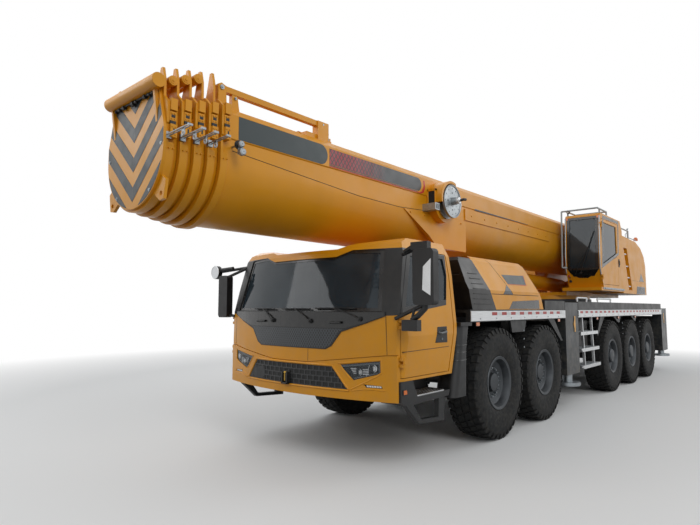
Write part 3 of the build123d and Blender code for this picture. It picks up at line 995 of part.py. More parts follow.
ROUND_MIRROR = (DOOR_FRONT_X + 60.0, ROUND_MIRROR_RADIUS - 1900.0, 2265.0)      # reaches as far out as the left one
# black panel under the windscreen: half outline in (Y, Z)
NOSE_PANEL = ((560, 1292), (640, 1330), (767, 1490), (1048, 1580), (1285, 1665), (1285, CAB_WAIST + 10))
NOSE_PANEL_PROUD = 5.0
GRILLE_ROWS = 3
GRILLE_COLUMNS = 14
GRILLE_CELL = (92.0, 54.0)                          # width and height of an opening
GRILLE_PITCH = (112.0, 72.0)
STEP_BOX = ((FASCIA_X[0] - 5, CAB_BOTTOM), (FASCIA_X[0] - 5, 766), (DOOR_FRONT_X - 80, 720),
            (DOOR_REAR_X + 150, 736), (DOOR_REAR_X + 120, STEP_FLOOR_Z), (DOOR_FRONT_X - 275, STEP_FLOOR_Z),
            (DOOR_FRONT_X - 190, CAB_BOTTOM))      # side view, (X, Z)
STEP_BOX_Y = (1100.0, 1440.0)
STEP_BOX_BACK = ((DOOR_REAR_X + 150, 780), (DOOR_REAR_X + 150, CAB_BOTTOM), (DOOR_FRONT_X - 100, CAB_BOTTOM),
                 (DOOR_FRONT_X - 100, 780))
STEP_LOOP = ((DOOR_FRONT_X - 85, 725), (DOOR_FRONT_X - 345, 495), (DOOR_REAR_X + 225, 464), (DOOR_REAR_X + 200, 740))
STEP_LOOP_INNER = ((DOOR_FRONT_X - 205, 745), (DOOR_FRONT_X - 370, 540), (DOOR_REAR_X + 345, 518),
                   (DOOR_REAR_X + 330, 745))
STEP_LOOP_Y = (1355.0, 1420.0)
TOW_PLATE = ((-100.0, 20.0), (GRILLE_Z[0] - 20, GRILLE_Z[0] + 150))     # Y and Z limits

grille_back = nose_skin(18, 27, GRILLE_Z, GRILLE_OUTLINE)
grille_front = nose_skin(2, 19, GRILLE_Z, GRILLE_OUTLINE)
nose_panel = nose_skin(-NOSE_PANEL_PROUD, 30, (1285, CAB_WAIST + 10), both_sides(NOSE_PANEL))
tow_plate = nose_skin(-12, 27, TOW_PLATE[1], [(y, z) for y, z in (
    (TOW_PLATE[0][0], TOW_PLATE[1][0]), (TOW_PLATE[0][1], TOW_PLATE[1][0]),
    (TOW_PLATE[0][1], TOW_PLATE[1][1]), (TOW_PLATE[0][0], TOW_PLATE[1][1]))])
with BuildPart() as grille_cells:
    for row in range(GRILLE_ROWS):
        for column in range(GRILLE_COLUMNS):
            shift = GRILLE_PITCH[0] * (column - (GRILLE_COLUMNS - 1) / 2 + (0.25 if row % 2 else -0.25))
            height = GRILLE_Z[0] + 45 + row * GRILLE_PITCH[1]
            reach = 850 - 205 * (height - GRILLE_Z[0]) / (GRILLE_Z[1] - GRILLE_Z[0]) - 70
            if abs(shift) < reach:
                block(FASCIA_X, limits(shift, GRILLE_CELL[0]), limits(height, GRILLE_CELL[1]))
with BuildPart() as step_loops:
    for side_name, side in SIDES:
        loop_y = sorted((side * STEP_LOOP_Y[0], side * STEP_LOOP_Y[1]))
        side_plate(STEP_LOOP, loop_y)
        side_plate(STEP_LOOP_INNER, loop_y, mode=Mode.SUBTRACT)
with BuildPart() as cab_trim:
    add(grille_front)
    add(grille_cells.part, mode=Mode.SUBTRACT)
    add(grille_back)
    add(tow_plate)
    add(nose_panel)
    for side, housing_y, housing_z, arms in MIRRORS:
        with BuildSketch(Plane.YZ.offset(MIRROR_X[0])) as housing:
            with Locations((side * sum(housing_y) / 2, sum(housing_z) / 2)):
                RectangleRounded(housing_y[1] - housing_y[0], housing_z[1] - housing_z[0], MIRROR_CORNER)
        extrude(housing.sketch, amount=MIRROR_X[1] - MIRROR_X[0])
        for foot, head in arms:
            rod((foot[0], side * foot[1], foot[2]), (head[0], side * head[1], head[2]), MIRROR_ARM_RADIUS)
    left_y, left_top = MIRRORS[0][1], MIRRORS[0][2][1]
    block((MIRROR_X[0] + 10, MIRROR_X[1] - 15), (left_y[0] - 30, left_y[1] - 80), (left_top - 5, left_top + MIRROR_CAP_Z))
    block(*KERB_MIRROR)
    rod((KERB_MIRROR[0][0] + 40, 1600, 1620), (KERB_MIRROR[0][0] + 40, 1640, 1760), 14)
    # round mirror ahead of the right pillar
    mirror_x, mirror_y, mirror_z = ROUND_MIRROR
    rod((HIGH_ARM_FOOT[0], -HIGH_ARM_FOOT[1], HIGH_ARM_FOOT[2]), (mirror_x, mirror_y, mirror_z), MIRROR_ARM_RADIUS)
    rod((mirror_x - 25, mirror_y, mirror_z), (mirror_x + 35, mirror_y, mirror_z), ROUND_MIRROR_RADIUS)
    for side_name, side in SIDES:
        side_plate(STEP_BOX, sorted((side * STEP_BOX_Y[0], side * STEP_BOX_Y[1])))
        side_plate(STEP_BOX_BACK, sorted((side * STEP_BOX_Y[0], side * (STEP_BOX_Y[0] + 30))))
    add(step_loops.part)
    add(cab_outer, mode=Mode.SUBTRACT)
    add(front_bumper.part, mode=Mode.SUBTRACT)
save(cab_trim, "cab_trim")

# marker lamps under the skirts, behind the first axle; the first is ahead of it
MARKER_LAMP_X = [AXLE_1_X + ahead for ahead in (646.0, -2220.0, -4340.0, -5870.0, -7330.0)]
STEP_LAMP = ((DOOR_FRONT_X - 75, DOOR_FRONT_X - 5), (845.0, 895.0))
lamp_blocks = [nose_skin(4, FASCIA_INNER, (min(z for y, z in outline), max(z for y, z in outline)),
                         on_side(outline, side)) for outline in LAMP_OUTLINES for side_name, side in SIDES]
with BuildPart() as lamps:
    for lamp_block in lamp_blocks:
        add(lamp_block)
    for side_name, side in SIDES:
        # tail lamp clusters on the frame's rear cross-bar
        block((REAR_X, REAR_X + 40), sorted((side * 700, side * 1250)), (1050, 1180))
        block(STEP_LAMP[0], sorted((side * STEP_BOX_Y[1], side * (STEP_BOX_Y[1] + 8))), STEP_LAMP[1])
        for marker_x in MARKER_LAMP_X:
            block(limits(marker_x, 90), sorted((side * FLAP_Y[1], side * (SKIRT_Y - 5))), (SKIRT_BOTTOM - 55, SKIRT_BOTTOM))
save(lamps, "lamps")

# ---------------------------------------------------------------- fittings on the superstructure and boom
HANDRAIL_RADIUS = 18.0
HANDRAIL_Y = 1200.0
HANDRAIL_TOP = BOOM_TOP + 50.0
HANDRAIL_X = (TAIL_REAR_X + 1080.0, TAIL_REAR_X + 1800.0)
HANDRAIL_FOOT = TAIL_TOP + 80.0                     # inside the tail's roof, which cuts it off
GUARD_FRONT_X = UPPER_X[1] - 30.0
GUARD_TOP = UPPER_Z[1] + 95.0
GUARD_BARS_Y = (UPPER_Y[0] + 30.0, UPPER_Y[1] - 30.0)
GUARD_POST_Y = UPPER_Y[0] - 60.0
GUARD_FOOT_X = UPPER_X[1] + 30.0
GUARD_FOOT_Z = 2620.0
with BuildPart() as handrails:
    for side_name, side in SIDES:
        for post_x in HANDRAIL_X:
            rod((post_x, side * HANDRAIL_Y, HANDRAIL_FOOT), (post_x, side * HANDRAIL_Y, HANDRAIL_TOP), HANDRAIL_RADIUS)
        rod((HANDRAIL_X[0], side * HANDRAIL_Y, HANDRAIL_TOP), (HANDRAIL_X[1], side * HANDRAIL_Y, HANDRAIL_TOP),
            HANDRAIL_RADIUS)
    add(tail_body.part, mode=Mode.SUBTRACT)
    # guard frame over the operator's windscreen, with a post down its inner side
    for bar_y in GUARD_BARS_Y:
        rod((GUARD_FRONT_X, bar_y, GUARD_TOP), (GUARD_FRONT_X - 640, bar_y, GUARD_TOP), HANDRAIL_RADIUS)
        for post_x in (GUARD_FRONT_X - 140, GUARD_FRONT_X - 640):
            rod((post_x, bar_y, UPPER_Z[1]), (post_x, bar_y, GUARD_TOP), HANDRAIL_RADIUS)
    for bar_x in (GUARD_FRONT_X, GUARD_FRONT_X - 640):
        rod((bar_x, GUARD_BARS_Y[0], GUARD_TOP), (bar_x, GUARD_BARS_Y[1], GUARD_TOP), HANDRAIL_RADIUS)
    rod((GUARD_FRONT_X, GUARD_BARS_Y[0], GUARD_TOP), (GUARD_FRONT_X, GUARD_POST_Y, GUARD_TOP), HANDRAIL_RADIUS)
    rod((GUARD_FRONT_X, GUARD_POST_Y, GUARD_TOP), (GUARD_FOOT_X, GUARD_POST_Y, GUARD_FOOT_Z), HANDRAIL_RADIUS)
    rod((GUARD_FOOT_X, GUARD_POST_Y, GUARD_FOOT_Z), (GUARD_FOOT_X - 60, UPPER_Y[0] + 20, GUARD_FOOT_Z), HANDRAIL_RADIUS)
    add(upper_outer, mode=Mode.SUBTRACT)
save(handrails, "handrails")

SWITCH_BOX = ((AXLE_1_X + 370, AXLE_1_X + 480), (BOOM_HALF_WIDTH - BOOM_FOLD_IN, 780), (3140, 3240))
with BuildPart() as cable_reel:
    rod((REEL_X, REEL_BASE_Y, REEL_Z), (REEL_X, REEL_FLANGES_Y[1], REEL_Z), 90)
    rod((REEL_X, REEL_FLANGES_Y[1], REEL_Z), (REEL_X, REEL_FLANGES_Y[1] + 100, REEL_Z), 55)
    block(*SWITCH_BOX)
    for flange_y in REEL_FLANGES_Y:
        rod((REEL_X, flange_y, REEL_Z), (REEL_X, flange_y + 20, REEL_Z), REEL_RADIUS)
save(cable_reel, "cable_reel")
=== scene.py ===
"""Looks of the mobile crane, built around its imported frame.

Metres. +X points forward, +Y to the vehicle's left, +Z up. Lengths along the machine are measured
from the first axle, so that one value, read from the frame, places every fitting.
"""
from __future__ import annotations

import json
import logging
from dataclasses import dataclass, field
from enum import Enum
from math import cos, pi, radians, sin, sqrt, tau
from typing import Any, Callable, Iterable, Mapping, Sequence

import bmesh
import bpy
from mathutils import Matrix, Vector

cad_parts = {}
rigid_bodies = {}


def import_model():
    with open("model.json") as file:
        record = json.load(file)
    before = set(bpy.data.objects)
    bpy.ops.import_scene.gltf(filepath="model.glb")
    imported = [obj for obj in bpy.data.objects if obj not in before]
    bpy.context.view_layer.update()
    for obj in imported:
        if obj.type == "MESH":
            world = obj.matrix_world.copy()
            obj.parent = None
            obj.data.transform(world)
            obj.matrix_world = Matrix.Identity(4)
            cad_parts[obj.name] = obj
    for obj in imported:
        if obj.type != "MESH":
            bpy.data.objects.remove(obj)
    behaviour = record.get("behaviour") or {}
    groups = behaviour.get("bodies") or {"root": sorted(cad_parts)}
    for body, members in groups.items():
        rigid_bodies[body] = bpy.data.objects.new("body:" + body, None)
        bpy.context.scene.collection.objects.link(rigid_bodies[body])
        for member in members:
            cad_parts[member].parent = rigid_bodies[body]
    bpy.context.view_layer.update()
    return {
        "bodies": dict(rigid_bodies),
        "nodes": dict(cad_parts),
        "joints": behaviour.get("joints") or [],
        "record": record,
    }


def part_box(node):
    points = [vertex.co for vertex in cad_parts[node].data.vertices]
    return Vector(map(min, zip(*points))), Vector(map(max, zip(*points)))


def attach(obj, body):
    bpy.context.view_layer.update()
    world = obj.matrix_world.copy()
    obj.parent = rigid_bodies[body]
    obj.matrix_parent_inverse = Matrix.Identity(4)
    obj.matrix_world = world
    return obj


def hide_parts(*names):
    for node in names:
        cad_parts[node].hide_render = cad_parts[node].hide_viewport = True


LOG = logging.getLogger("crane")
MM = 0.001
WAVE = 0.314        # scale at which a wave pattern's bands are a metre apart
SIDES = (("left", 1.0), ("right", -1.0))
Point = tuple[float, float, float]
Outline = Sequence[tuple[float, float]]


# ---- colour and nodes
def linear(code: str) -> tuple[float, float, float, float]:
    """Turns an sRGB hex code into linear RGBA.

    Args:
        code: six hex digits, with or without a leading hash.

    Returns:
        Linear red, green, blue and an alpha of one.
    """
    digits = code.lstrip("#")
    channels = []
    for start in (0, 2, 4):
        value = int(digits[start:start + 2], 16) / 255.0
        channels.append(value / 12.92 if value <= 0.04045 else ((value + 0.055) / 1.055) ** 2.4)
    return (channels[0], channels[1], channels[2], 1.0)


def per_metre(size_mm: float) -> float:
    """How many features of a size fit in a metre, which is the scale of a pattern."""
    return 1.0 / (size_mm * MM)


def add_node(tree: bpy.types.NodeTree, kind: str, inputs: Mapping[Any, Any] | None = None) -> Any:
    """Adds one node with its settings and links.

    Args:
        tree: the node tree of a material or world.
        kind: the node's type name, without the ShaderNode that starts them all.
        inputs: a value for each property, or for each input by name or number. One that is another
            node's output is linked. Properties come first, as they can change the inputs.

    Returns:
        The new node's outputs.
    """
    node = tree.nodes.new("ShaderNode" + kind)
    for key, value in (inputs or {}).items():
        if isinstance(key, str) and key not in node.inputs:
            setattr(node, key, value)
        elif isinstance(value, bpy.types.NodeSocket):
            tree.links.new(value, node.inputs[key])
        else:
            node.inputs[key].default_value = value
    return node.outputs


SHARE, FIRST, SECOND, MIXED = 0, 6, 7, 2        # sockets of a node that mixes two colours


class Recipe:
    """A material being built: its tree, its shader and its object coordinates."""

    def __init__(self, name: str) -> None:
        """Makes an empty material called name."""
        self.material = bpy.data.materials.new(name)
        self.material.use_nodes = True
        self.tree = self.material.node_tree
        self.tree.nodes.clear()
        self.shader = self.tree.nodes.new("ShaderNodeBsdfPrincipled")
        add_node(self.tree, "OutputMaterial", {"Surface": self.shader.outputs[0]})
        self.place = add_node(self.tree, "TexCoord")["Object"]

    def patchy(self, size_mm: float, low: float, high: float, start: float, end: float,
            detail: float = 3.0) -> Any:
        """A value that wanders from start to end over the surface, in soft-edged patches.

        Args:
            size_mm: size of one patch.
            low: share of the noise at and below which the value is start.
            high: share of the noise at and above which it is end.
            start: lowest value.
            end: highest value.
            detail: octaves of finer noise.

        Returns:
            The value's socket.
        """
        noise = add_node(self.tree, "TexNoise",
            {"Scale": per_metre(size_mm), "Detail": detail, "Vector": self.place})["Fac"]
        return add_node(self.tree, "MapRange",
            {"From Min": low, "From Max": high, "To Min": start, "To Max": end, "Value": noise})[0]

    def tinted(self, colour: Any, share: Any, code: str) -> Any:
        """A colour with another, an sRGB hex code, laid over it by a share, and returned as a socket."""
        return add_node(self.tree, "Mix",
            {"data_type": "RGBA", SHARE: share, FIRST: colour, SECOND: linear(code)})[MIXED]

    def grained(self, size_mm: float, detail: float, depth_mm: float, strength: float,
            under: Any = None) -> Any:
        """A surface normal with a fine grain.

        Args:
            size_mm: size of one grain.
            detail: octaves of finer noise.
            depth_mm: height of the grain.
            strength: how much of it shows.
            under: the normal that the grain lies on, where it isn't the plain surface.

        Returns:
            The normal's socket.
        """
        noise = add_node(self.tree, "TexNoise",
            {"Scale": per_metre(size_mm), "Detail": detail, "Vector": self.place})["Fac"]
        extra = {} if under is None else {"Normal": under}
        return add_node(self.tree, "Bump", {"Distance": depth_mm * MM, "Strength": strength, "Height": noise,
            **extra})[0]

    def set(self, **sockets: Any) -> None:
        """Sets or links the shader's sockets, with spaces in their names written as underscores."""
        for name, value in sockets.items():
            target = self.shader.inputs[name.replace("_", " ")]
            if isinstance(value, bpy.types.NodeSocket):
                self.tree.links.new(value, target)
            else:
                target.default_value = value


# ---- finishes
@dataclass(frozen=True)
class PaintRegion:
    """A second colour of paint, on the part of a panel that is beyond every plane."""

    colour: str
    planes: tuple[tuple[float, float, float, float], ...]

    def mask(self, recipe: Recipe) -> Any:
        """A mask that is one beyond every plane, each a normal and its distance from the origin."""
        mask = None
        for x, y, z, distance in self.planes:
            reach = add_node(recipe.tree, "VectorMath",
                {"operation": "DOT_PRODUCT", 1: (x, y, z), 0: recipe.place})["Value"]
            over = add_node(recipe.tree, "Math", {"operation": "GREATER_THAN", 1: distance, 0: reach})[0]
            mask = over if mask is None else add_node(recipe.tree, "Math",
                {"operation": "MULTIPLY", 0: mask, 1: over})[0]
        return mask


@dataclass(frozen=True)
class BakedEnamel:
    """Two-pack polyurethane sprayed on steel plate: glossy, with fine orange peel, dusty low down.

    The clear top layer gives a sharp reflection over a softer body colour, and the plate's edges are
    slightly rounded by the build-up of paint.
    """

    name: str
    colour: str
    roughness: float = 0.38
    coat: float = 0.12
    peel_mm: float = 4.0            # waviness of sprayed paint; drawn about twice real size to show
    dust: float = 0.12
    edge_mm: float = 4.0
    regions: tuple[PaintRegion, ...] = ()

    def material(self) -> bpy.types.Material:
        """Builds the finish and returns its material."""
        recipe = Recipe(self.name)
        colour: Any = linear(self.colour)
        for region in self.regions:
            colour = recipe.tinted(colour, region.mask(recipe), region.colour)
        # broad patches of faded and darker paint, half a metre across
        colour = recipe.tinted(colour, recipe.patchy(520.0, 0.35, 0.75, 0.0, 0.09, 4.0), "#241A0A")
        # road dust gathers towards the wheels
        height = add_node(recipe.tree, "SeparateXYZ", {0: recipe.place})["Z"]
        low = add_node(recipe.tree, "MapRange",
            {"From Min": 0.5, "From Max": 2.0, "To Min": self.dust, "To Max": self.dust * 0.15,
            "Value": height})[0]
        grime = recipe.patchy(85.0, 0.4, 0.72, 0.0, 1.0, 6.0)
        amount = add_node(recipe.tree, "Math", {"operation": "MULTIPLY", 0: low, 1: grime})[0]
        rounded = add_node(recipe.tree, "Bevel", {"samples": 4, "Radius": self.edge_mm * MM})[0]
        recipe.set(Base_Color=recipe.tinted(colour, amount, "#8C8374"), Coat_Weight=self.coat,
            Coat_Roughness=0.12, IOR=1.42, Roughness=recipe.patchy(240.0, 0.3, 0.7, self.roughness - 0.06,
            self.roughness + 0.12, 5.0), Normal=recipe.grained(self.peel_mm, 2.0, 0.25, 0.12, rounded))
        return recipe.material


@dataclass(frozen=True)
class VulcanisedRubber:
    """Tyre rubber: dull carbon black, greyed by road dust in the tread, with a faint moulded grain."""

    name: str = "vulcanised_rubber"
    colour: str = "#161718"

    def material(self) -> bpy.types.Material:
        """Builds the finish and returns its material."""
        recipe = Recipe(self.name)
        dust = recipe.patchy(60.0, 0.42, 0.8, 0.0, 0.22, 6.0)
        recipe.set(Base_Color=recipe.tinted(linear(self.colour), dust, "#5A554C"), IOR=1.52,
            Specular_IOR_Level=0.3, Roughness=recipe.patchy(35.0, 0.3, 0.7, 0.72, 0.9),
            Normal=recipe.grained(6.0, 4.0, 1.0, 0.25))
        return recipe.material


@dataclass(frozen=True)
class MouldedPlastic:
    """Injection-moulded polymer, satin, with the fine grain of a textured mould and faded patches."""

    name: str
    colour: str
    roughness: float = 0.5
    grain_mm: float = 3.0           # mould grain is about 0.5 mm; drawn coarser so that it shows

    def material(self) -> bpy.types.Material:
        """Builds the finish and returns its material."""
        recipe = Recipe(self.name)
        fade = recipe.patchy(180.0, 0.35, 0.75, 0.0, 0.12, 4.0)
        rounded = add_node(recipe.tree, "Bevel", {"samples": 4, "Radius": 5.0 * MM})[0]
        recipe.set(Base_Color=recipe.tinted(linear(self.colour), fade, "#4C4B47"), IOR=1.46,
            Roughness=recipe.patchy(90.0, 0.3, 0.7, self.roughness - 0.08, self.roughness + 0.08),
            Normal=recipe.grained(self.grain_mm, 2.0, 0.4, 0.15, rounded))
        return recipe.material


@dataclass(frozen=True)
class WorkedMetal:
    """Bare or plated metal: bright, with the streaks that brushing or rolling leaves along one axis."""

    name: str
    colour: str
    roughness: float = 0.35
    lines: Point = (0.02, 1.0, 1.0)     # rolling marks are long along the axis with the small value
    line_mm: float = 4.0

    def material(self) -> bpy.types.Material:
        """Builds the finish and returns its material."""
        recipe = Recipe(self.name)
        place = recipe.place
        if self.lines != (1.0, 1.0, 1.0):
            place = add_node(recipe.tree, "Mapping", {"Scale": self.lines, "Vector": place})[0]
        streaks = add_node(recipe.tree, "TexNoise",
            {"Scale": per_metre(self.line_mm), "Detail": 3.0, "Vector": place})["Fac"]
        share = add_node(recipe.tree, "MapRange",
            {"From Min": 0.3, "From Max": 0.75, "To Min": 0.0, "To Max": 0.35, "Value": streaks})[0]
        recipe.set(Base_Color=recipe.tinted(linear(self.colour), share, "#5E6164"), Metallic=1.0,
            Roughness=recipe.patchy(120.0, 0.3, 0.7, self.roughness - 0.08, self.roughness + 0.15, 5.0),
            Normal=add_node(recipe.tree, "Bump",
            {"Distance": 0.3 * MM, "Strength": 0.15, "Height": streaks})[0])
        return recipe.material


@dataclass(frozen=True)
class TintedFloatGlass:
    """Laminated float glass, tinted grey-green: dark, mirror smooth, seen through only faintly."""

    name: str = "tinted_float_glass"
    colour: str = "#26323A"
    alpha: float = 0.86

    def material(self) -> bpy.types.Material:
        """Builds the finish and returns its material."""
        recipe = Recipe(self.name)
        film = recipe.patchy(400.0, 0.4, 0.7, 0.0, 0.25, 4.0)
        recipe.set(Base_Color=recipe.tinted(linear(self.colour), film, "#5C666C"), IOR=1.52, Alpha=self.alpha,
            Specular_IOR_Level=0.35, Roughness=recipe.patchy(150.0, 0.3, 0.7, 0.03, 0.09))
        return recipe.material


@dataclass(frozen=True)
class LampLens:
    """Moulded acrylic or polycarbonate over a reflector: coloured and glossy, with fine optic ribs that carry
    pale bands of painted highlight.
    """

    name: str
    colour: str
    rib_mm: float = 9.0

    def material(self) -> bpy.types.Material:
        """Builds the finish and returns its material."""
        recipe = Recipe(self.name)
        ribs = add_node(recipe.tree, "TexWave",
            {"bands_direction": "Y", "Scale": WAVE * per_metre(self.rib_mm), "Vector": recipe.place})["Fac"]
        # pale bands along the ribs: painted highlight
        shade = add_node(recipe.tree, "MapRange", {"To Max": 0.10, "Value": ribs})[0]
        recipe.set(Base_Color=recipe.tinted(linear(self.colour), shade, "#FFF2D8"), IOR=1.49, Roughness=0.15,
            Coat_Weight=0.3, Coat_Roughness=0.03,
            Normal=add_node(recipe.tree, "Bump", {"Distance": 0.8 * MM, "Strength": 0.3, "Height": ribs})[0])
        return recipe.material


@dataclass(frozen=True)
class WovenCloth:
    """Seat cloth woven from dark polyester: soft sheen over a plain weave."""

    name: str = "woven_seat_cloth"
    colour: str = "#2B2D31"
    thread_mm: float = 6.0          # threads are about 1 mm; drawn coarser so that the weave shows

    def material(self) -> bpy.types.Material:
        """Builds the finish and returns its material."""
        recipe = Recipe(self.name)
        warp, weft = (add_node(recipe.tree, "TexWave",
            {"bands_direction": axis, "Scale": WAVE * per_metre(self.thread_mm),
            "Vector": recipe.place})["Fac"] for axis in ("Y", "Z"))
        weave = add_node(recipe.tree, "Math", {"operation": "MULTIPLY", 0: warp, 1: weft})[0]
        share = add_node(recipe.tree, "MapRange", {"To Max": 0.4, "Value": weave})[0]
        recipe.set(Base_Color=recipe.tinted(linear(self.colour), share, "#56585E"), Roughness=0.85,
            Sheen_Weight=0.3, Normal=add_node(recipe.tree, "Bump",
            {"Distance": MM, "Strength": 0.4, "Height": weave})[0])
        return recipe.material


@dataclass(frozen=True)
class PrintedFilm:
    """Cast vinyl film: smooth and satin, printed with a fine diamond mesh that fades along the boom."""

    name: str
    ground: str
    line: str
    pitch_mm: float = 24.0          # the printed cells are about 12 mm; drawn coarser so that they show
    across: Point = (1.0, 0.0, 0.0)     # the axis that the printed surface faces
    fade: tuple[float, float] | None = None

    def material(self) -> bpy.types.Material:
        """Builds the finish and returns its material."""
        recipe = Recipe(self.name)
        masks = []
        for tilt in (1.0, -1.0):
            turned = add_node(recipe.tree, "Mapping",
                {"Rotation": tuple(0.95 * tilt * part for part in self.across), "Vector": recipe.place})[0]
            wave = add_node(recipe.tree, "TexWave",
                {"bands_direction": "Z", "Scale": WAVE * per_metre(self.pitch_mm), "Vector": turned})["Fac"]
            masks.append(add_node(recipe.tree, "MapRange",
                {"From Min": 0.80, "From Max": 0.90, "Value": wave})[0])
        mesh = add_node(recipe.tree, "Math", {"operation": "MAXIMUM", 0: masks[0], 1: masks[1]})[0]
        colour = recipe.tinted(linear(self.ground), mesh, self.line)
        if self.fade:
            ahead = add_node(recipe.tree, "SeparateXYZ", {0: recipe.place})["X"]
            share = add_node(recipe.tree, "MapRange",
                {"From Min": self.fade[0], "From Max": self.fade[1], "To Min": 1.0, "To Max": 0.0,
                "Value": ahead})[0]
            colour = recipe.tinted(colour, share, "#2C3134")
        recipe.set(Base_Color=colour, IOR=1.47, Coat_Weight=0.1, Coat_Roughness=0.15,
            Roughness=recipe.patchy(140.0, 0.3, 0.7, 0.32, 0.46, 4.0),
            Normal=add_node(recipe.tree, "Bump", {"Distance": 0.3 * MM, "Strength": 0.12, "Height": mesh})[0])
        return recipe.material


class Finishes:
    """Every finish on the crane, each made once."""

    def __init__(self, datum: "Datum") -> None:
        """Makes the materials, with the colour breaks of the panels placed from the datum."""
        yellow, black = "#DD9508", "#0C0D0F"
        cover_break = datum.x(-0.920)
        belt = (0.1166, 0.0, 1.0, 1.938 + 0.1166 * datum.x(0.0))
        top = (0.0, 0.0, -1.0, -2.415)
        pillars = tuple(PaintRegion(black,
            (belt, top, (1.0, 0.0, 0.0, datum.x(1.95)), (0.0, side, 0.0, 0.75))) for _, side in SIDES)
        sill = PaintRegion(black, (belt, (0.0, 0.0, -1.0, -2.0), (1.0, 0.0, 0.0, datum.x(2.2))))
        surround = PaintRegion(black,
            (belt, top, (1.0, 0.0, 0.0, datum.x(1.225)), (1.0, 0.0, 0.21, datum.x(1.674))))
        self.cab = BakedEnamel("cab_enamel", yellow, regions=(*pillars, sill)).material()
        self.door = BakedEnamel("door_enamel", yellow, regions=(surround,)).material()
        self.yellow = BakedEnamel("yellow_enamel", yellow).material()
        self.cover = BakedEnamel("cover_enamel", yellow,
            regions=(PaintRegion(black, ((1.0, 0.0, -0.59, cover_break),)),)).material()
        self.black = BakedEnamel("black_enamel", "#121416", roughness=0.5, coat=0.1, dust=0.2).material()
        self.charcoal = BakedEnamel("charcoal_enamel", "#23272A", roughness=0.45, coat=0.15,
            dust=0.25).material()
        self.grey_enamel = BakedEnamel("silver_grey_enamel", "#9FA4A6", roughness=0.35, dust=0.2).material()
        # a near-black that stands for painted shade, in holes, mouths and openings where only shade is seen
        self.shade_black = MouldedPlastic("unlit_black_plastic", "#060708", 0.7).material()
        self.rubber = VulcanisedRubber().material()
        self.plastic = MouldedPlastic("moulded_black_plastic", "#0E0F11").material()
        self.grey_plastic = MouldedPlastic("moulded_grey_plastic", "#6E7478").material()
        self.aluminium = WorkedMetal("extruded_aluminium", "#D2D4D5", 0.38).material()
        self.zinc = WorkedMetal("zinc_plated_steel", "#9AA0A4", 0.42, (1.0, 1.0, 1.0), 30.0).material()
        self.rim = WorkedMetal("painted_rim_steel", "#4A4D50", 0.5, (1.0, 1.0, 1.0), 60.0).material()
        self.chrome = WorkedMetal("hard_chromed_steel", "#D4D6D8", 0.1).material()
        self.glass = TintedFloatGlass().material()
        self.cloth = WovenCloth().material()
        self.clear_lens = LampLens("clear_lens", "#F2F5F7").material()
        self.amber_lens = LampLens("amber_lens", "#E06C00").material()
        self.red_lens = LampLens("red_lens", "#A8140E").material()
        self.white_tape = MouldedPlastic("white_reflective_tape", "#D8DADA", 0.35, 5.0).material()
        self.red_tape = MouldedPlastic("red_reflective_tape", "#A8211A", 0.35, 5.0).material()
        self.chevron = MouldedPlastic("charcoal_chevron_film", "#33383B", 0.45, 6.0).material()
        self.galvanised = WorkedMetal("galvanised_sheet", "#A6ABAE", 0.45, (1.0, 1.0, 1.0), 45.0).material()
        self.grille = MouldedPlastic("moulded_grille_plastic", "#303132", 0.45).material()
        self.slate_film = MouldedPlastic("slate_vinyl_film", "#2F3A3C", 0.38, 6.0).material()
        self.red_film = MouldedPlastic("red_vinyl_film", "#C4191C", 0.35, 6.0).material()
        self.yellow_film = MouldedPlastic("yellow_vinyl_film", "#E8A51E", 0.35, 6.0).material()
        self.fading_film = PrintedFilm("fading_mesh_film", "#9A1424", "#25060A", 52.0, (0.0, 1.0, 0.0),
            (datum.x(1.35), datum.x(2.0))).material()
        self.mesh = PrintedFilm("expanded_nose_mesh", "#0B0C0E", "#3F454A", 30.0).material()
        self.gloss_black = BakedEnamel("gloss_black_panel", "#0D0F11", roughness=0.25, coat=0.35,
            dust=0.1).material()
        self.white_enamel = BakedEnamel("white_rail_enamel", "#E4E6E6", roughness=0.35, dust=0.2).material()
        self.clear_cover = TintedFloatGlass("clear_lamp_cover", "#565E63", 0.16).material()
        self.brass = WorkedMetal("yellow_zinc_plating", "#A8863A", 0.35, (1.0, 1.0, 1.0), 30.0).material()


# ---- outlines
def joined(items: Sequence[Any]) -> list[tuple[Any, Any]]:
    """Each item of a closed line with the next."""
    return list(zip(items, [*items[1:], items[0]]))


def angles(count: int) -> list[float]:
    """So many even steps round a circle."""
    return [tau * step / count for step in range(count)]


def rectangle(left: float, right: float, low: float, high: float) -> Outline:
    """The four corners of a rectangle, from the lower left one."""
    return [(left, low), (right, low), (right, high), (left, high)]


def framed(outer: Outline, inner: Outline) -> list[Outline]:
    """The four-cornered strips between two outlines with as many corners."""
    return [[a, b, d, c] for (a, b), (c, d) in zip(joined(outer), joined(inner))]


def clipped(outline: Outline, window: Outline) -> Outline:
    """The part of an outline inside a convex window, both listed the same way round.

    Args:
        outline: corners of the shape to cut.
        window: corners of the convex shape that keeps what lies in it.

    Returns:
        The corners that are left, or none.
    """
    turn = sum((b[0] - a[0]) * (b[1] + a[1]) for a, b in joined(window))
    edges = joined(window) if turn < 0 else [(b, a) for a, b in joined(window)]
    kept = list(outline)
    for (ax, ay), (bx, by) in edges:
        source, kept = kept, []
        for index, point in enumerate(source):
            last = source[index - 1]
            here = (bx - ax) * (point[1] - ay) - (by - ay) * (point[0] - ax)
            before = (bx - ax) * (last[1] - ay) - (by - ay) * (last[0] - ax)
            if (here >= 0) != (before >= 0):
                share = before / (before - here)
                kept.append((last[0] + share * (point[0] - last[0]), last[1] + share * (point[1] - last[1])))
            if here >= 0:
                kept.append(point)
    return kept


def mirrored(outline: Outline, side: float) -> Outline:
    """An outline of (Y, Z) on the side asked for."""
    return [(side * first, second) for first, second in outline]


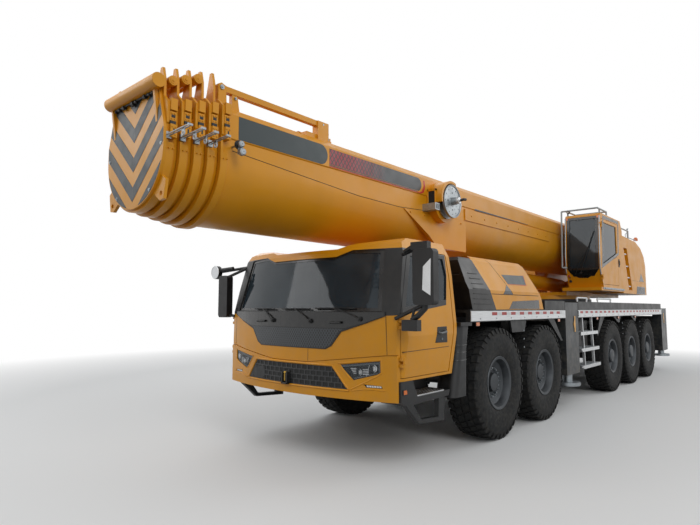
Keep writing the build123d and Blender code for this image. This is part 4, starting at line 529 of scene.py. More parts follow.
def split(outline: Outline, index: int, cut: float) -> list[Outline]:
    """Splits a convex outline where one coordinate passes a value.

    Args:
        outline: its corners.
        index: which coordinate.
        cut: the value.

    Returns:
        The parts that have an area.
    """
    far = 100.0
    boxes = [rectangle(low, high, -far, far) if index == 0 else rectangle(-far, far, low, high) for low,
        high in ((-far, cut), (cut, far))]
    parts = [clipped(outline, box) for box in boxes]
    spans = [(part, [point[index] for point in part]) for part in parts if len(part) > 2]
    return [part for part, span in spans if max(span) - min(span) > 1e-6]


# ---- meshes
class Axis(Enum):
    """Directions that an outline is drawn across."""

    X = Vector((1.0, 0.0, 0.0))
    Y = Vector((0.0, 1.0, 0.0))
    Z = Vector((0.0, 0.0, 1.0))

    def place(self, first: float, second: float, along: float) -> Vector:
        """A point from an outline's two coordinates, in the order X, Y, Z, and a third along this axis."""
        return Vector({Axis.X: (along, first, second), Axis.Y: (first, along, second),
            Axis.Z: (first, second, along)}[self])


class Draft:
    """Collects the faces of one piece, in the crane's frame."""

    def __init__(self, name: str) -> None:
        """Starts an empty draft called name."""
        self.name = name
        self.bm = bmesh.new()

    def block(self, low: Sequence[float], high: Sequence[float]) -> None:
        """Adds a block between two corners, in any order."""
        (x0, x1), (y0, y1), (z0, z1) = (sorted(pair) for pair in zip(low, high))
        self.prism(rectangle(x0, x1, y0, y1), Axis.Z, z0, z1)

    def prism(self, outline: Outline, axis: Axis, start: float, end: float) -> None:
        """Adds an outline drawn across an axis, extruded from start to end along it."""
        self.shell(*([self.bm.verts.new(axis.place(a, b, depth)) for a, b in outline]
            for depth in (start, end)))

    def shell(self, near: Sequence[bmesh.types.BMVert], far: Sequence[bmesh.types.BMVert]) -> None:
        """Closes the faces of a solid between two loops of vertices, with as many in each."""
        self.bm.faces.new(near)
        self.bm.faces.new(list(reversed(far)))
        for (a, b), (c, d) in zip(joined(near), joined(far)):
            self.bm.faces.new((b, a, c, d))

    def tube(self, path: Sequence[Sequence[float]], radius: float, sides: int = 10) -> None:
        """Adds a round bar, closed at both ends.

        Args:
            path: points that it runs through.
            radius: its radius.
            sides: flats round it.
        """
        points = [Vector(p) for p in path]
        rings = []
        for index, point in enumerate(points):
            before = points[max(index - 1, 0)]
            after = points[min(index + 1, len(points) - 1)]
            along = (after - before).normalized()
            across = (across - along * across.dot(along) if index else along.orthogonal()).normalized()
            up = along.cross(across)
            rings.append([self.bm.verts.new(point + radius * (cos(t) * across + sin(t) * up))
                for t in angles(sides)])
        for first, second in zip(rings, rings[1:]):
            for (a, b), (c, d) in zip(joined(first), joined(second)):
                self.bm.faces.new((a, b, d, c))
        self.bm.faces.new(list(reversed(rings[0])))
        self.bm.faces.new(rings[-1])

    def pin(self, x: float, z: float, near: float, far: float, radius: float, sides: int = 10) -> None:
        """Adds a round bar crossways, from near to far along Y."""
        self.tube([(x, near, z), (x, far, z)], radius, sides)

    def lathe(self, profile: Outline, centre: Sequence[float], side: float, segments: int = 96) -> None:
        """Turns a closed profile about a crossways axis.

        Args:
            profile: its (radius, distance outward).
            centre: where the distance is zero.
            side: one when outward is left, minus one when it is right.
            segments: steps round the axis.
        """
        rings = [[self.bm.verts.new((centre[0] + radius * cos(t), centre[1] + side * out,
            centre[2] + radius * sin(t))) for radius, out in profile] for t in angles(segments)]
        for first, second in joined(rings):
            for (a, b), (c, d) in zip(joined(first), joined(second)):
                self.bm.faces.new((a, c, d, b))

    def skin(self, outline: Outline, place: Callable[[float, float, float], Point], out: float,
            thickness: float, first_cuts: Sequence[float] = (), second_cuts: Sequence[float] = ()) -> None:
        """Adds a thin sheet that follows a curved or folded surface.

        Args:
            outline: convex outline in two coordinates of the surface.
            place: gives the point for both coordinates and a height above the surface.
            out: height of the sheet's back above the surface.
            thickness: its thickness.
            first_cuts: values of the first coordinate at which the surface folds.
            second_cuts: values of the second coordinate at which it folds.
        """
        shapes = [list(outline)]
        for index, cuts in enumerate((first_cuts, second_cuts)):
            for cut in cuts:
                shapes = [part for shape in shapes for part in split(shape, index, cut)]
        for shape in shapes:
            self.shell(*([self.bm.verts.new(place(a, b, depth)) for a, b in shape]
                for depth in (out, out + thickness)))

    def ring(self, centre: Sequence[float], normal: Vector, radius: float, thickness: float) -> None:
        """Adds a round ring.

        Args:
            centre: its middle.
            normal: the direction that it faces.
            radius: from its middle to the middle of its bar.
            thickness: radius of its bar.
        """
        across = normal.orthogonal().normalized()
        other = normal.cross(across)
        count, sides = 36, 8
        rows = []
        for turn in angles(count):
            out = cos(turn) * across + sin(turn) * other
            middle = Vector(centre) + radius * out
            rows.append([self.bm.verts.new(middle + thickness * (cos(t) * out + sin(t) * normal))
                for t in angles(sides)])
        for first, second in joined(rows):
            for (a, b), (c, d) in zip(joined(first), joined(second)):
                self.bm.faces.new((a, c, d, b))

    def piece(self, finish: bpy.types.Material, body: str = "carrier", slot: str = "black_plastic",
            replaces: Iterable[str] = (), bevel_mm: float = 0.0,
            smooth_deg: float = 35.0) -> bpy.types.Object:
        """Makes the object from the draft and sets it on its body.

        Args:
            finish: the material it wears.
            body: the body that it moves with.
            slot: the record's material slot; not used.
            replaces: nodes of the frame that it stands for.
            bevel_mm: width of a bevel along its sharp edges, or none.
            smooth_deg: faces that meet at less than this are shaded smooth.

        Returns:
            The object.
        """
        bmesh.ops.recalc_face_normals(self.bm, faces=self.bm.faces)
        mesh = bpy.data.meshes.new(self.name)
        self.bm.to_mesh(mesh)
        self.bm.free()
        mesh.materials.append(finish)
        mesh.shade_smooth()
        mesh.set_sharp_from_angle(angle=radians(smooth_deg))
        item = bpy.data.objects.new(self.name, mesh)
        bpy.context.scene.collection.objects.link(item)
        if bevel_mm:
            bevel = item.modifiers.new("edges", "BEVEL")
            bevel.width = bevel_mm * MM
            bevel.segments = 2
            bevel.limit_method = "ANGLE"
            bevel.angle_limit = radians(40.0)
        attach(item, body)
        for node in replaces:
            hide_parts(node)
        LOG.info("piece %s on %s, %d faces", self.name, body, len(mesh.polygons))
        return item


@dataclass(frozen=True)
class Datum:
    """Where the first axle is, from which lengths along the machine are measured."""

    axle_x: float

    @classmethod
    def of(cls, frame: Mapping[str, Any]) -> "Datum":
        """Reads the first wheel's axis from the frame's joints."""
        return cls(next(j["pos_m"][0] for j in frame["joints"] if j["name"] == "roll_left_1"))

    def x(self, ahead: float) -> float:
        """A place that is so far ahead of the first axle."""
        return self.axle_x + ahead


@dataclass
class Dress:
    """A group of fittings, placed from the datum and made in the finishes."""

    datum: Datum
    looks: Finishes

    def x(self, ahead: float) -> float:
        """A place that is so far ahead of the first axle."""
        return self.datum.x(ahead)

    def side_view(self, *outline: tuple[float, float]) -> Outline:
        """An outline in (X, Z), from one in (distance ahead of the first axle, Z)."""
        return [(self.datum.x(ahead), z) for ahead, z in outline]


# ---- wheels
class Hub(Enum):
    """Kinds of wheel centre, with the section of each, as (radius, distance outward)."""

    STEERED = ((0.140, 0.060), (0.128, 0.072), (0.120, 0.118), (0.090, 0.124), (0.0001, 0.124),
        (0.0001, 0.095), (0.064, 0.090))
    DRIVEN = ((0.160, 0.060), (0.150, 0.080), (0.142, 0.168), (0.122, 0.188), (0.0001, 0.192),
        (0.0001, 0.162), (0.064, 0.158))


@dataclass
class RoadWheels(Dress):
    """Ten all-terrain tyres on bolted steel rims."""

    spacing: tuple[float, ...] = (0.0, 1.62, 5.44, 7.04, 8.64)
    tyre_radius: float = 0.7425
    middle_y: float = 1.262
    tread_depth: float = 0.016
    blocks_round: int = 40
    bolts: int = 10
    bolt_circle: float = 0.168
    carcass: Outline = ((0.322, 0.150), (0.335, 0.172), (0.352, 0.180), (0.40, 0.204), (0.47, 0.217),
        (0.54, 0.2215), (0.60, 0.219), (0.655, 0.211), (0.690, 0.203), (0.712, 0.186), (0.7245, 0.150),
        (0.7265, 0.075), (0.7265, 0.0))
    rim_well: Outline = ((0.321, 0.165), (0.352, 0.182), (0.358, 0.190), (0.352, 0.197), (0.318, 0.188),
        (0.302, 0.150), (0.292, 0.100), (0.262, 0.078), (0.225, 0.070), (0.212, 0.060))
    rim_back: Outline = ((0.064, -0.008), (0.15, -0.008), (0.290, 0.060), (0.300, -0.165), (0.321, -0.165))

    def tread_block(self, draft: Draft, centre: Vector, angle: float, half_angle: float,
            y_limits: tuple[float, float], skew: float) -> None:
        """Adds one block of tread.

        Args:
            draft: the tyre's mesh.
            centre: the wheel's middle.
            angle: where the block is round the tyre.
            half_angle: half the block's length, as an angle.
            y_limits: the block's inner and outer edge across the tyre.
            skew: how far its outer edge leads its inner edge, as an angle.
        """
        foot = self.tyre_radius - self.tread_depth - 0.004
        lower, upper = [], []
        for y, turn in ((y_limits[0], -skew - half_angle), (y_limits[0], half_angle - skew),
                (y_limits[1], skew + half_angle), (y_limits[1], skew - half_angle)):
            top = self.tyre_radius - (0.012 if abs(y) > 0.17 else 0.0)
            for corners, radius, across, lead in ((lower, foot, y, angle + turn),
                    (upper, top, y * 0.995, angle + turn * 0.94)):
                corners.append(draft.bm.verts.new((centre.x + radius * cos(lead), centre.y + across,
                    centre.z + radius * sin(lead))))
        draft.shell(upper, lower)

    def tyre(self, centre: Vector, side: float, name: str, body: str, node: str) -> None:
        """Builds one tyre: a turned carcass, shoulder lugs and two rows of centre blocks.

        Args:
            centre: the wheel's middle.
            side: one on the left, minus one on the right.
            name: the piece's name.
            body: the body it moves with.
            node: the node it stands for.
        """
        draft = Draft(name)
        draft.lathe([*self.carcass, *((radius, -out) for radius, out in reversed(self.carcass[:-1]))], centre,
            side, 120)
        pitch = tau / self.blocks_round
        for index in range(self.blocks_round):
            angle = index * pitch
            for way in (1.0, -1.0):
                offset = 0.25 * pitch * way
                self.tread_block(draft, centre, angle + offset, pitch * 0.34,
                    tuple(sorted((way * 0.118, way * 0.2))), pitch * 0.1 * way)
                self.tread_block(draft, centre, angle + offset + pitch * 0.5, pitch * 0.36,
                    tuple(sorted((way * 0.012, way * 0.105))), pitch * 0.2)
                # lugs that run down the shoulder
                reach = [(0.735, 0.196), (0.70, 0.2075), (0.672, 0.2145)]
                self.shoulder_lug(draft, centre, angle + offset, pitch * 0.3, reach, way)
        draft.piece(self.looks.rubber, body, "tyre", (node,))

    def shoulder_lug(self, draft: Draft, centre: Vector, angle: float, half_angle: float, reach: Outline,
            way: float) -> None:
        """Adds a lug that follows the shoulder down the side of the tyre.

        Args:
            draft: the tyre's mesh.
            centre: the wheel's middle.
            angle: where the lug is round the tyre.
            half_angle: half its length, as an angle.
            reach: (radius, distance outward) down its middle.
            way: side of the tyre that it is on.
        """
        rows = []
        for index, (radius, out) in enumerate(reach):
            width = half_angle * (1.0 - 0.12 * index)
            rows.append([[draft.bm.verts.new((centre.x + radius * cos(angle + turn),
                centre.y + way * (out + depth), centre.z + radius * sin(angle + turn)))
                for turn in (-width, width)] for depth in (-0.012, 0.0065)])
        for first, second in zip(rows, rows[1:]):
            draft.bm.faces.new((first[1][0], first[1][1], second[1][1], second[1][0]))
            draft.bm.faces.new((first[0][1], first[0][0], second[0][0], second[0][1]))
            draft.bm.faces.new((first[0][0], first[1][0], second[1][0], second[0][0]))
            draft.bm.faces.new((first[1][1], first[0][1], second[0][1], second[1][1]))
        for row, order in ((rows[0], (0, 1)), (rows[-1], (1, 0))):
            draft.bm.faces.new((row[0][order[0]], row[0][order[1]], row[1][order[1]], row[1][order[0]]))

    def rim(self, centre: Vector, side: float, name: str, body: str, hub: Hub) -> None:
        """Builds one rim with its nuts.

        Args:
            centre: the wheel's middle.
            side: one on the left, minus one on the right.
            name: the piece's name.
            body: the body it moves with.
            hub: its kind of centre.
        """
        draft = Draft(name)
        draft.lathe([*self.rim_well, *hub.value, *self.rim_back], centre, side, 72)
        draft.piece(self.looks.rim, body, "tyre")
        nuts = Draft(f"{name}_nuts")
        for index in range(self.bolts * 2):
            angle = pi * index / self.bolts
            x = centre.x + (self.bolt_circle + 0.02) * cos(angle)
            z = centre.z + (self.bolt_circle + 0.02) * sin(angle)
            nuts.pin(x, z, centre.y + side * 0.055, centre.y + side * 0.092, 0.0145, 6)
            if index % 2 == 0:
                nuts.pin(x, z, centre.y + side * 0.09, centre.y + side * 0.108, 0.007, 6)
        nuts.piece(self.looks.zinc, body, "tyre")

    def build(self) -> None:
        """Builds every wheel on its body."""
        for number, back in enumerate(self.spacing, start=1):
            for side_name, side in SIDES:
                centre = Vector((self.x(-back), side * self.middle_y, self.tyre_radius))
                body = f"wheel_{side_name}_{number}"
                hub = Hub.STEERED if number <= 2 else Hub.DRIVEN
                self.tyre(centre, side, f"tyre_{side_name}_{number}", body, body)
                self.rim(centre, side, f"rim_{side_name}_{number}", body, hub)


# ---- boom
@dataclass
class BoomDress(Dress):
    """Films, guides and fittings on the boom's base section, its collars and its head."""

    half_width: float = 0.575
    low_half_width: float = 0.563
    top: float = 3.70
    step: float = 0.022
    collar_x: float = 3.89
    pitch: float = 0.128
    head_x: float = 4.4906
    chevron_apexes: tuple[float, ...] = (3.569, 3.289, 3.009, 2.729, 2.449)
    chevron_slope: float = 0.91
    chevron_height: float = 0.137

    def head_outline(self, inset: float) -> Outline:
        """Outline of the head's end panel in (Y, Z), inset from its edge."""
        radius, middle = 0.530 - inset, 3.192
        arc = [(radius * cos(t), middle + radius * sin(t)) for t in (pi + pi * k / 24 for k in range(25))]
        return [*arc, (radius, 3.33), (0.42 - inset * 0.8, 3.706 - inset),
            (-0.42 + inset * 0.8, 3.706 - inset), (-radius, 3.33)]

    def chevrons(self) -> None:
        """Lays the slate chevrons on the end panel."""
        draft = Draft("head_chevrons")
        window = self.head_outline(0.010)
        front = self.x(self.head_x)
        for apex in self.chevron_apexes:
            for side in (1.0, -1.0):
                rise = 0.6 * self.chevron_slope
                arm = [(0.0, apex), (side * 0.6, apex + rise),
                    (side * 0.6, apex + rise + self.chevron_height), (0.0, apex + self.chevron_height)]
                shape = clipped(arm, window)
                if len(shape) > 2:
                    draft.prism(shape, Axis.X, front, front + 0.0015)
        draft.piece(self.looks.chevron, "boom_section_5")
        bolts = Draft("head_panel_bolts")
        for y, z in ((0.49, 3.19), (-0.49, 3.19), (0.31, 2.80), (-0.31, 2.80), (0.40, 3.61), (-0.40, 3.61)):
            bolts.tube([(front, y, z), (front + 0.009, y, z)], 0.010, 6)
            bolts.tube([(front, y, z), (front + 0.003, y, z)], 0.016, 16)
        bolts.piece(self.looks.zinc, "boom_section_5", "steel")
        rollers = Draft("head_rollers")
        for y, z, radius in ((-0.30, 3.672, 0.016), (-0.20, 3.668, 0.021), (-0.02, 3.662, 0.024),
                (0.03, 3.668, 0.015), (0.20, 3.672, 0.021), (0.27, 3.675, 0.014)):
            rollers.pin(front + 0.022, z, y, y + 0.035, radius, 18)
        rollers.pin(front + 0.022, 3.678, -0.36, 0.36, 0.008, 12)
        for y in (-0.355, 0.345):
            rollers.block((front, y, 3.655), (front + 0.034, y + 0.010, 3.70))
        rollers.piece(self.looks.plastic, "boom_section_5", bevel_mm=2.0)

    def panel_film(self, name: str, outline: Outline, finish: bpy.types.Material,
            slot: str = "black_plastic") -> None:
        """Lays a film on both sides of the base section.

        Args:
            name: the piece's name.
            outline: (distance ahead of the first axle, Z).
            finish: its material.
            slot: the record's material slot.
        """
        draft = Draft(name)
        for _, side in SIDES:
            draft.prism(self.side_view(*outline), Axis.Y, side * self.half_width,
                side * (self.half_width + 0.0015))
        draft.piece(finish, "boom_base", slot)

    def films(self) -> None:
        """Lays the bare colour bands, with their rounded rear ends."""
        def rounded_end(front: float, rear: float, low: float, high: float) -> Outline:
            """An outline with a half round rear end."""
            middle, radius = (low + high) / 2, (high - low) / 2
            arc = [(rear + radius - radius * cos(t), middle + radius * sin(t))
                for t in (pi / 2 - pi * k / 16 for k in range(17))]
            return [(front, high), *arc, (front, low)]

        self.panel_film("front_band", rounded_end(3.73, 2.47, 3.386, 3.617), self.looks.slate_film)
        self.panel_film("middle_band", rounded_end(2.44, 0.52, 3.412, 3.60), self.looks.fading_film)
        self.panel_film("middle_band_black_line",
            [(2.44, 3.408), (0.66, 3.408), (0.60, 3.398), (2.44, 3.398)], self.looks.slate_film)
        self.panel_film("middle_band_red_line",
            [(2.44, 3.395), (0.58, 3.395), (0.51, 3.42), (0.46, 3.50), (0.47, 3.585), (0.44, 3.585),
            (0.42, 3.50), (0.46, 3.41), (0.53, 3.384), (2.44, 3.384)], self.looks.red_film)
        self.panel_film("rear_line", [(-1.073, 3.392), (-3.255, 3.392), (-3.255, 3.384), (-1.073, 3.366)],
            self.looks.slate_film)

    def seam(self) -> None:
        """Draws the long weld seam where the upper and lower shells meet, as a dark line that is partly the
        seam and partly painted shade along the fold.
        """
        draft = Draft("shell_seam")
        line = ((3.79, 3.262), (1.895, 3.13), (1.05, 3.118), (0.40, 3.156))
        for _, side in SIDES:
            for (x0, z0), (x1, z1) in zip(line, line[1:]):
                draft.prism(self.side_view((x0, z0 - 0.003), (x1, z1 - 0.003), (x1, z1 + 0.003),
                    (x0, z0 + 0.003)), Axis.Y, side * (self.low_half_width - 0.008),
                    side * (self.low_half_width + 0.0015))
        draft.piece(self.looks.rubber, "boom_base")

    def collars(self) -> None:
        """Adds the bolts, slots and tube ends of each collar, and the rods that guide the side cable. The
        slots and recesses are dark blocks of painted shade.
        """
        for index in range(5):
            body = "boom_base" if index == 0 else f"boom_section_{index}"
            half = self.half_width - index * self.step
            top = self.top - index * self.step
            start = self.x(self.collar_x + index * self.pitch)
            bolts, slots, guides, eyes = (Draft(f"collar_{index}_{part}")
                for part in ("bolts", "slots", "guides", "eyes"))
            for _, side in SIDES:
                for below, out in ((0.145, 0.046), (0.195, 0.046), (0.27, 0.060), (0.34, 0.060)):
                    for x in (start - 0.012, start + 0.018):
                        y = side * (half + out)
                        bolts.pin(x, top - below, y, y + side * 0.007, 0.008, 6)
                # dark blocks for the collar's slots and recesses: painted shade
                slots.block((start - 0.016, side * (half + 0.044), top - 0.183),
                    (start + 0.022, side * (half + 0.048), top - 0.157))
                slots.block((start - 0.006, side * (half + 0.058), top - 0.325),
                    (start + 0.010, side * (half + 0.0615), top - 0.285))
                slots.block((start - 0.02, side * (half + 0.002), top - 0.243),
                    (start + 0.034, side * (half + 0.052), top - 0.216))
                ring_z = 3.185
                for x in (start - 0.012, start + 0.03):
                    bolts.pin(x, ring_z - 0.03, side * (half + 0.026), side * (half + 0.040), 0.008, 6)
            if index:
                x = start + 0.046
                for shift in (-0.014, 0.014):
                    guides.tube([(x + shift, half + 0.025, 3.262), (x + shift, 0.885, 3.275)], 0.0065, 8)
                guides.block((x - 0.022, 0.872, 3.266), (x + 0.022, 0.885, 3.284))
                guides.block((x - 0.03, half + 0.012, 3.235), (x + 0.02, half + 0.045, 3.295))
                eye_y = 0.655 + 0.03 * index
                guides.block((x - 0.006, eye_y - 0.018, 3.236), (x + 0.006, eye_y + 0.018, 3.27))
                eyes.ring((x, eye_y, 3.228), Axis.X.value, 0.018, 0.0075)
                guides.piece(self.looks.zinc, body, "steel")
                eyes.piece(self.looks.white_tape, body)
            if index in (1, 2, 3):
                tube_z = {1: 3.901, 2: 3.848, 3: 3.797}[index]
                for _, side in SIDES:
                    bolts.pin(start + 0.104, tube_z, side * 0.4705, side * 0.474, 0.031, 24)
                    bolts.pin(start + 0.104, tube_z, side * 0.472, side * 0.481, 0.014, 6)
            bolts.piece(self.looks.yellow, body, "yellow_paint")
            slots.piece(self.looks.plastic, body)

    def linkage(self) -> None:
        """Adds the pins of the linkage on top, and the sheave that leads the side cable."""
        pins = Draft("linkage_pins")
        for _, side in SIDES:
            for x, z, radius in ((3.862, 3.904, 0.024), (3.70, 3.835, 0.014), (2.45, 3.90, 0.024),
                    (2.36, 3.74, 0.014)):
                at = self.x(x)
                pins.pin(at, z, side * 0.405, side * 0.482, radius, 20)
                pins.pin(at, z, side * 0.482, side * 0.488, radius * 0.5, 6)
        pins.piece(self.looks.zinc, "boom_base", "steel")
        rails = Draft("linkage_frame")
        for y in (-0.30, -0.10, 0.10, 0.30):
            rails.block((self.x(2.30), y - 0.02, 3.765), (self.x(2.70), y + 0.02, 3.80))
        rails.block((self.x(2.33), -0.46, 3.80), (self.x(2.36), 0.46, 3.83))
        rails.piece(self.looks.yellow, "boom_base", "yellow_paint", bevel_mm=3.0)
        sheave = Draft("cable_sheave")
        at = self.x(3.80)
        sheave.lathe([(0.010, 0.0), (0.044, 0.0), (0.044, 0.005), (0.032, 0.011), (0.044, 0.017),
            (0.044, 0.022), (0.010, 0.022)], (at, 0.665, 3.295), 1.0, 36)
        sheave.piece(self.looks.plastic, "boom_base")
        bracket = Draft("sheave_bracket")
        bracket.pin(at, 3.295, 0.57, 0.72, 0.010, 12)
        bracket.lathe([(0.004, 0.0), (0.024, 0.0), (0.032, 0.008), (0.032, 0.030), (0.022, 0.040),
            (0.004, 0.040)], (at, 0.695, 3.295), 1.0, 20)
        bracket.lathe([(0.004, 0.0), (0.030, 0.0), (0.036, 0.008), (0.036, 0.040), (0.026, 0.050),
            (0.004, 0.050)], (at - 0.012, 0.690, 3.222), 1.0, 20)
        bracket.block((at - 0.035, 0.682, 3.20), (at + 0.02, 0.694, 3.31))
        bracket.piece(self.looks.zinc, "boom_base", "steel")

    def reel(self) -> None:
        """Dresses the cable reel: spoke slots, rim, hub nut and connector."""
        at, z = self.x(0.06), 3.31
        rim = Draft("reel_rim")
        rim.lathe([(0.228, 0.0), (0.2445, 0.0), (0.2445, 0.012), (0.238, 0.014), (0.228, 0.006)],
            (at, 0.8105, z), 1.0, 72)
        rim.lathe([(0.060, 0.0), (0.075, 0.0), (0.070, 0.006), (0.062, 0.006)], (at, 0.8105, z), 1.0, 36)
        rim.piece(self.looks.zinc, "boom_base", "steel", bevel_mm=1.5)
        # the spoke slots are drawn as near-black discs of painted shade
        holes = Draft("reel_holes")
        for index in range(12):
            angle = pi * index / 6
            for reach, radius in ((0.19, 0.0085), (0.125, 0.012 if index % 3 == 0 else 0.005)):
                x, height = at + reach * cos(angle), z + reach * sin(angle)
                holes.pin(x, height, 0.8095, 0.8112, radius, 14)
        holes.piece(self.looks.shade_black, "boom_base")
        hub = Draft("reel_hub")
        hub.pin(at, z, 0.89, 0.93, 0.047, 24)
        hub.pin(at, z, 0.93, 0.945, 0.026, 6)
        hub.piece(self.looks.aluminium, "boom_base", "steel", bevel_mm=3.0)
        # the hood's mouth is a near-black block of painted shade
        mouth, hood = Draft("reel_mouth"), Draft("reel_hood")
        front = self.x(0.362)
        mouth.block((front - 0.02, 0.590, 3.262), (front, 0.700, 3.440))
        for low, high in (((0.568, 3.250), (0.592, 3.475)), ((0.568, 3.438), (0.708, 3.475)),
                ((0.698, 3.250), (0.708, 3.475))):
            hood.block((front - 0.09, low[0], low[1]), (front + 0.008, high[0], high[1]))
        mouth.piece(self.looks.shade_black, "boom_base")
        hood.piece(self.looks.yellow, "boom_base", "yellow_paint", bevel_mm=4.0)
        plug = Draft("reel_connector")
        plug.tube([(at, 0.94, z), (at - 0.02, 0.985, z + 0.01), (at - 0.07, 0.99, z + 0.015)], 0.020, 14)
        plug.piece(self.looks.plastic, "boom_base")
        # the switch box's slots are thin black bars of painted shade
        slots = Draft("switch_box_slots")
        for k in range(4):
            slots.block((self.x(0.385) + 0.022 * k, 0.7795, 3.155),
                (self.x(0.395) + 0.022 * k, 0.7815, 3.225))
        slots.piece(self.looks.plastic, "boom_base")

    def gussets(self) -> None:
        """Adds bolts on the gussets and the long ledges."""
        bolts = Draft("gusset_bolts")
        for _, side in SIDES:
            for x in (0.80, 0.45, 0.10, -0.25, -0.60):
                at = self.x(x)
                bolts.pin(at, 3.085, side * 0.574, side * 0.587, 0.014, 6)
            for k in range(8):
                at = self.x(-0.95 - 0.46 * k)
                bolts.pin(at, 3.25, side * 0.580, side * 0.590, 0.013, 6)
        bolts.piece(self.looks.yellow, "boom_base", "yellow_paint")

    def build(self) -> None:
        """Dresses the boom."""
        for make in (self.chevrons, self.films, self.seam, self.collars, self.linkage, self.reel,
                self.gussets):
            make()


# ---- driver's cab
@dataclass
class CabDress(Dress):
    """Lamps, mesh, wipers, seals, mirrors and inside fittings of the driver's cab."""

    nose_radius: float = 4.376
    nose_front: float = 2.51
    wipers: tuple[tuple[float, float, float, float, float], ...] = ((-0.300, 1.603, -0.74, -0.30, 1.742),
        (0.346, 1.603, -0.14, 0.33, 1.742), (1.005, 1.632, 0.40, 0.93, 1.748))

    def nose_x(self, y: float, out: float = 0.0) -> float:
        """Where the nose's skin is at y, or so far outside it."""
        reach = self.nose_radius + out
        return self.x(self.nose_front - self.nose_radius + sqrt(reach * reach - y * y))

    def nose_film(self, draft: Draft, outline: Outline, out: float, thickness: float) -> None:
        """Adds a sheet that follows the nose, drawn in (Y, Z), its back so far outside the skin."""
        cuts = [0.08 * k for k in range(-18, 19)]
        draft.skin(outline, lambda y, z, depth: (self.nose_x(y, depth), y, z), out, thickness, cuts)

    def headlights(self) -> None:
        """Builds each headlight's bezel, projector, reflector fins and cover, and the strip below it."""
        bezel, silver, bright, cover = (Draft(f"headlight_{part}")
            for part in ("bezel", "reflectors", "lenses", "cover"))
        for _, side in SIDES:
            self.nose_film(bezel, mirrored([(0.752, 1.128), (1.222, 1.184), (1.224, 1.158), (0.775, 1.104)],
                side), -0.010, 0.008)
            self.nose_film(bezel, mirrored([(1.205, 1.16), (1.224, 1.16), (1.224, 1.072), (1.205, 1.06)],
                side), -0.010, 0.008)
            self.nose_film(bezel, mirrored([(0.925, 0.982), (1.188, 1.052), (1.200, 1.066), (0.925, 1.000)],
                side), -0.010, 0.008)
            for y, z, radius in ((1.150, 1.108, 0.040), (0.985, 1.060, 0.034)):
                x = self.nose_x(y, -0.006)
                silver.tube([(x - 0.016, side * y, z), (x, side * y, z)], radius, 32)
                bezel.tube([(x - 0.004, side * y, z), (x + 0.0015, side * y, z)], radius * 0.78, 32)
                bright.tube([(x - 0.002, side * y, z), (x + 0.003, side * y, z)], radius * 0.6, 32)
            for k in range(4):
                z = 1.092 - 0.017 * k
                self.nose_film(silver, mirrored([(0.885 + 0.012 * k, z), (0.95, z + 0.004), (0.95, z + 0.013),
                    (0.878 + 0.012 * k, z + 0.009)], side), -0.006, 0.004)
                self.nose_film(silver, mirrored([(1.025, z - 0.006), (1.095, z), (1.095, z + 0.009),
                    (1.025, z + 0.003)], side), -0.006, 0.004)
            self.nose_film(silver, mirrored([(1.065, 1.02), (1.10, 1.145), (1.106, 1.145), (1.071, 1.02)],
                side), -0.006, 0.004)
            self.nose_film(cover, mirrored([(0.748, 1.131), (1.226, 1.188), (1.229, 1.069), (1.190, 1.048),
                (0.919, 0.976)], side), 0.0, 0.002)
            for k in range(6):
                y = 1.075 + 0.028 * k
                self.nose_film(bright,
                    mirrored([(y, 0.911), (y + 0.021, 0.911), (y + 0.019, 0.929), (y - 0.004, 0.930)], side),
                    -0.004, 0.004)
        bezel.piece(self.looks.grey_plastic, bevel_mm=1.0)
        silver.piece(self.looks.aluminium, slot="chrome", bevel_mm=0.8)
        bright.piece(self.looks.clear_lens, slot="lamp_lens")
        cover.piece(self.looks.clear_cover, slot="tinted_glass")

    def mesh(self) -> None:
        """Lays the fine mesh of the nose panel and the glossy band over it."""
        mesh = Draft("nose_mesh")
        middle = [(-0.545, 1.302), (0.545, 1.302), (0.625, 1.340), (0.745, 1.495), (0.79, 1.520),
            (-0.79, 1.520), (-0.745, 1.495), (-0.625, 1.340)]
        self.nose_film(mesh, middle, 0.0052, 0.0015)
        mesh.piece(self.looks.mesh)
        band = Draft("nose_band")
        self.nose_film(band, [(-0.80, 1.526), (0.80, 1.526), (1.04, 1.588), (1.27, 1.665), (1.27, 1.706),
            (-1.27, 1.706), (-1.27, 1.665), (-1.04, 1.588)], 0.0052, 0.0015)
        band.piece(self.looks.gloss_black)

    def glass_x(self, y: float, z: float) -> float:
        """Where the windscreen's outside is, at y and a height."""
        return self.nose_x(y, 0.0) - 0.008 - (0.197 / 0.70) * max(0.0, z - 1.70)

    def wiper_set(self) -> None:
        """Builds the three wipers, parked along the foot of the windscreen."""
        draft = Draft("wipers")
        for y, z, low, high, blade_z in self.wipers:
            pivot_x = self.nose_x(y, 0.014)
            draft.tube([(pivot_x - 0.03, y, z), (pivot_x + 0.018, y, z)], 0.026, 20)
            draft.tube([(pivot_x + 0.018, y, z), (pivot_x + 0.03, y, z)], 0.014, 16)
            middle = (low + high) / 2
            tip = (self.glass_x(middle, blade_z) + 0.030, middle, blade_z)
            draft.tube([(pivot_x + 0.02, y, z), (pivot_x + 0.012, y + 0.3 * (middle - y), z + 0.05), tip],
                0.0075, 8)
            draft.tube([(pivot_x + 0.012, y - 0.03, z + 0.01),
                (tip[0] - 0.004, middle + 0.05, blade_z + 0.004)], 0.0045, 8)
            draft.tube([(self.glass_x(t, blade_z) + 0.015, t, blade_z)
                for t in (low + (high - low) * k / 8 for k in range(9))], 0.0085, 8)
            draft.tube([(self.glass_x(t, blade_z) + 0.024, t, blade_z + 0.004)
                for t in (low + (high - low) * (0.12 + 0.76 * k / 6) for k in range(7))], 0.005, 8)
        for y in (-0.52, 0.72):
            x = self.nose_x(y, 0.012)
            draft.tube([(x + 0.006, y - 0.10, 1.588), (x + 0.012, y + 0.06, 1.592)], 0.014, 12)
        draft.piece(self.looks.plastic)

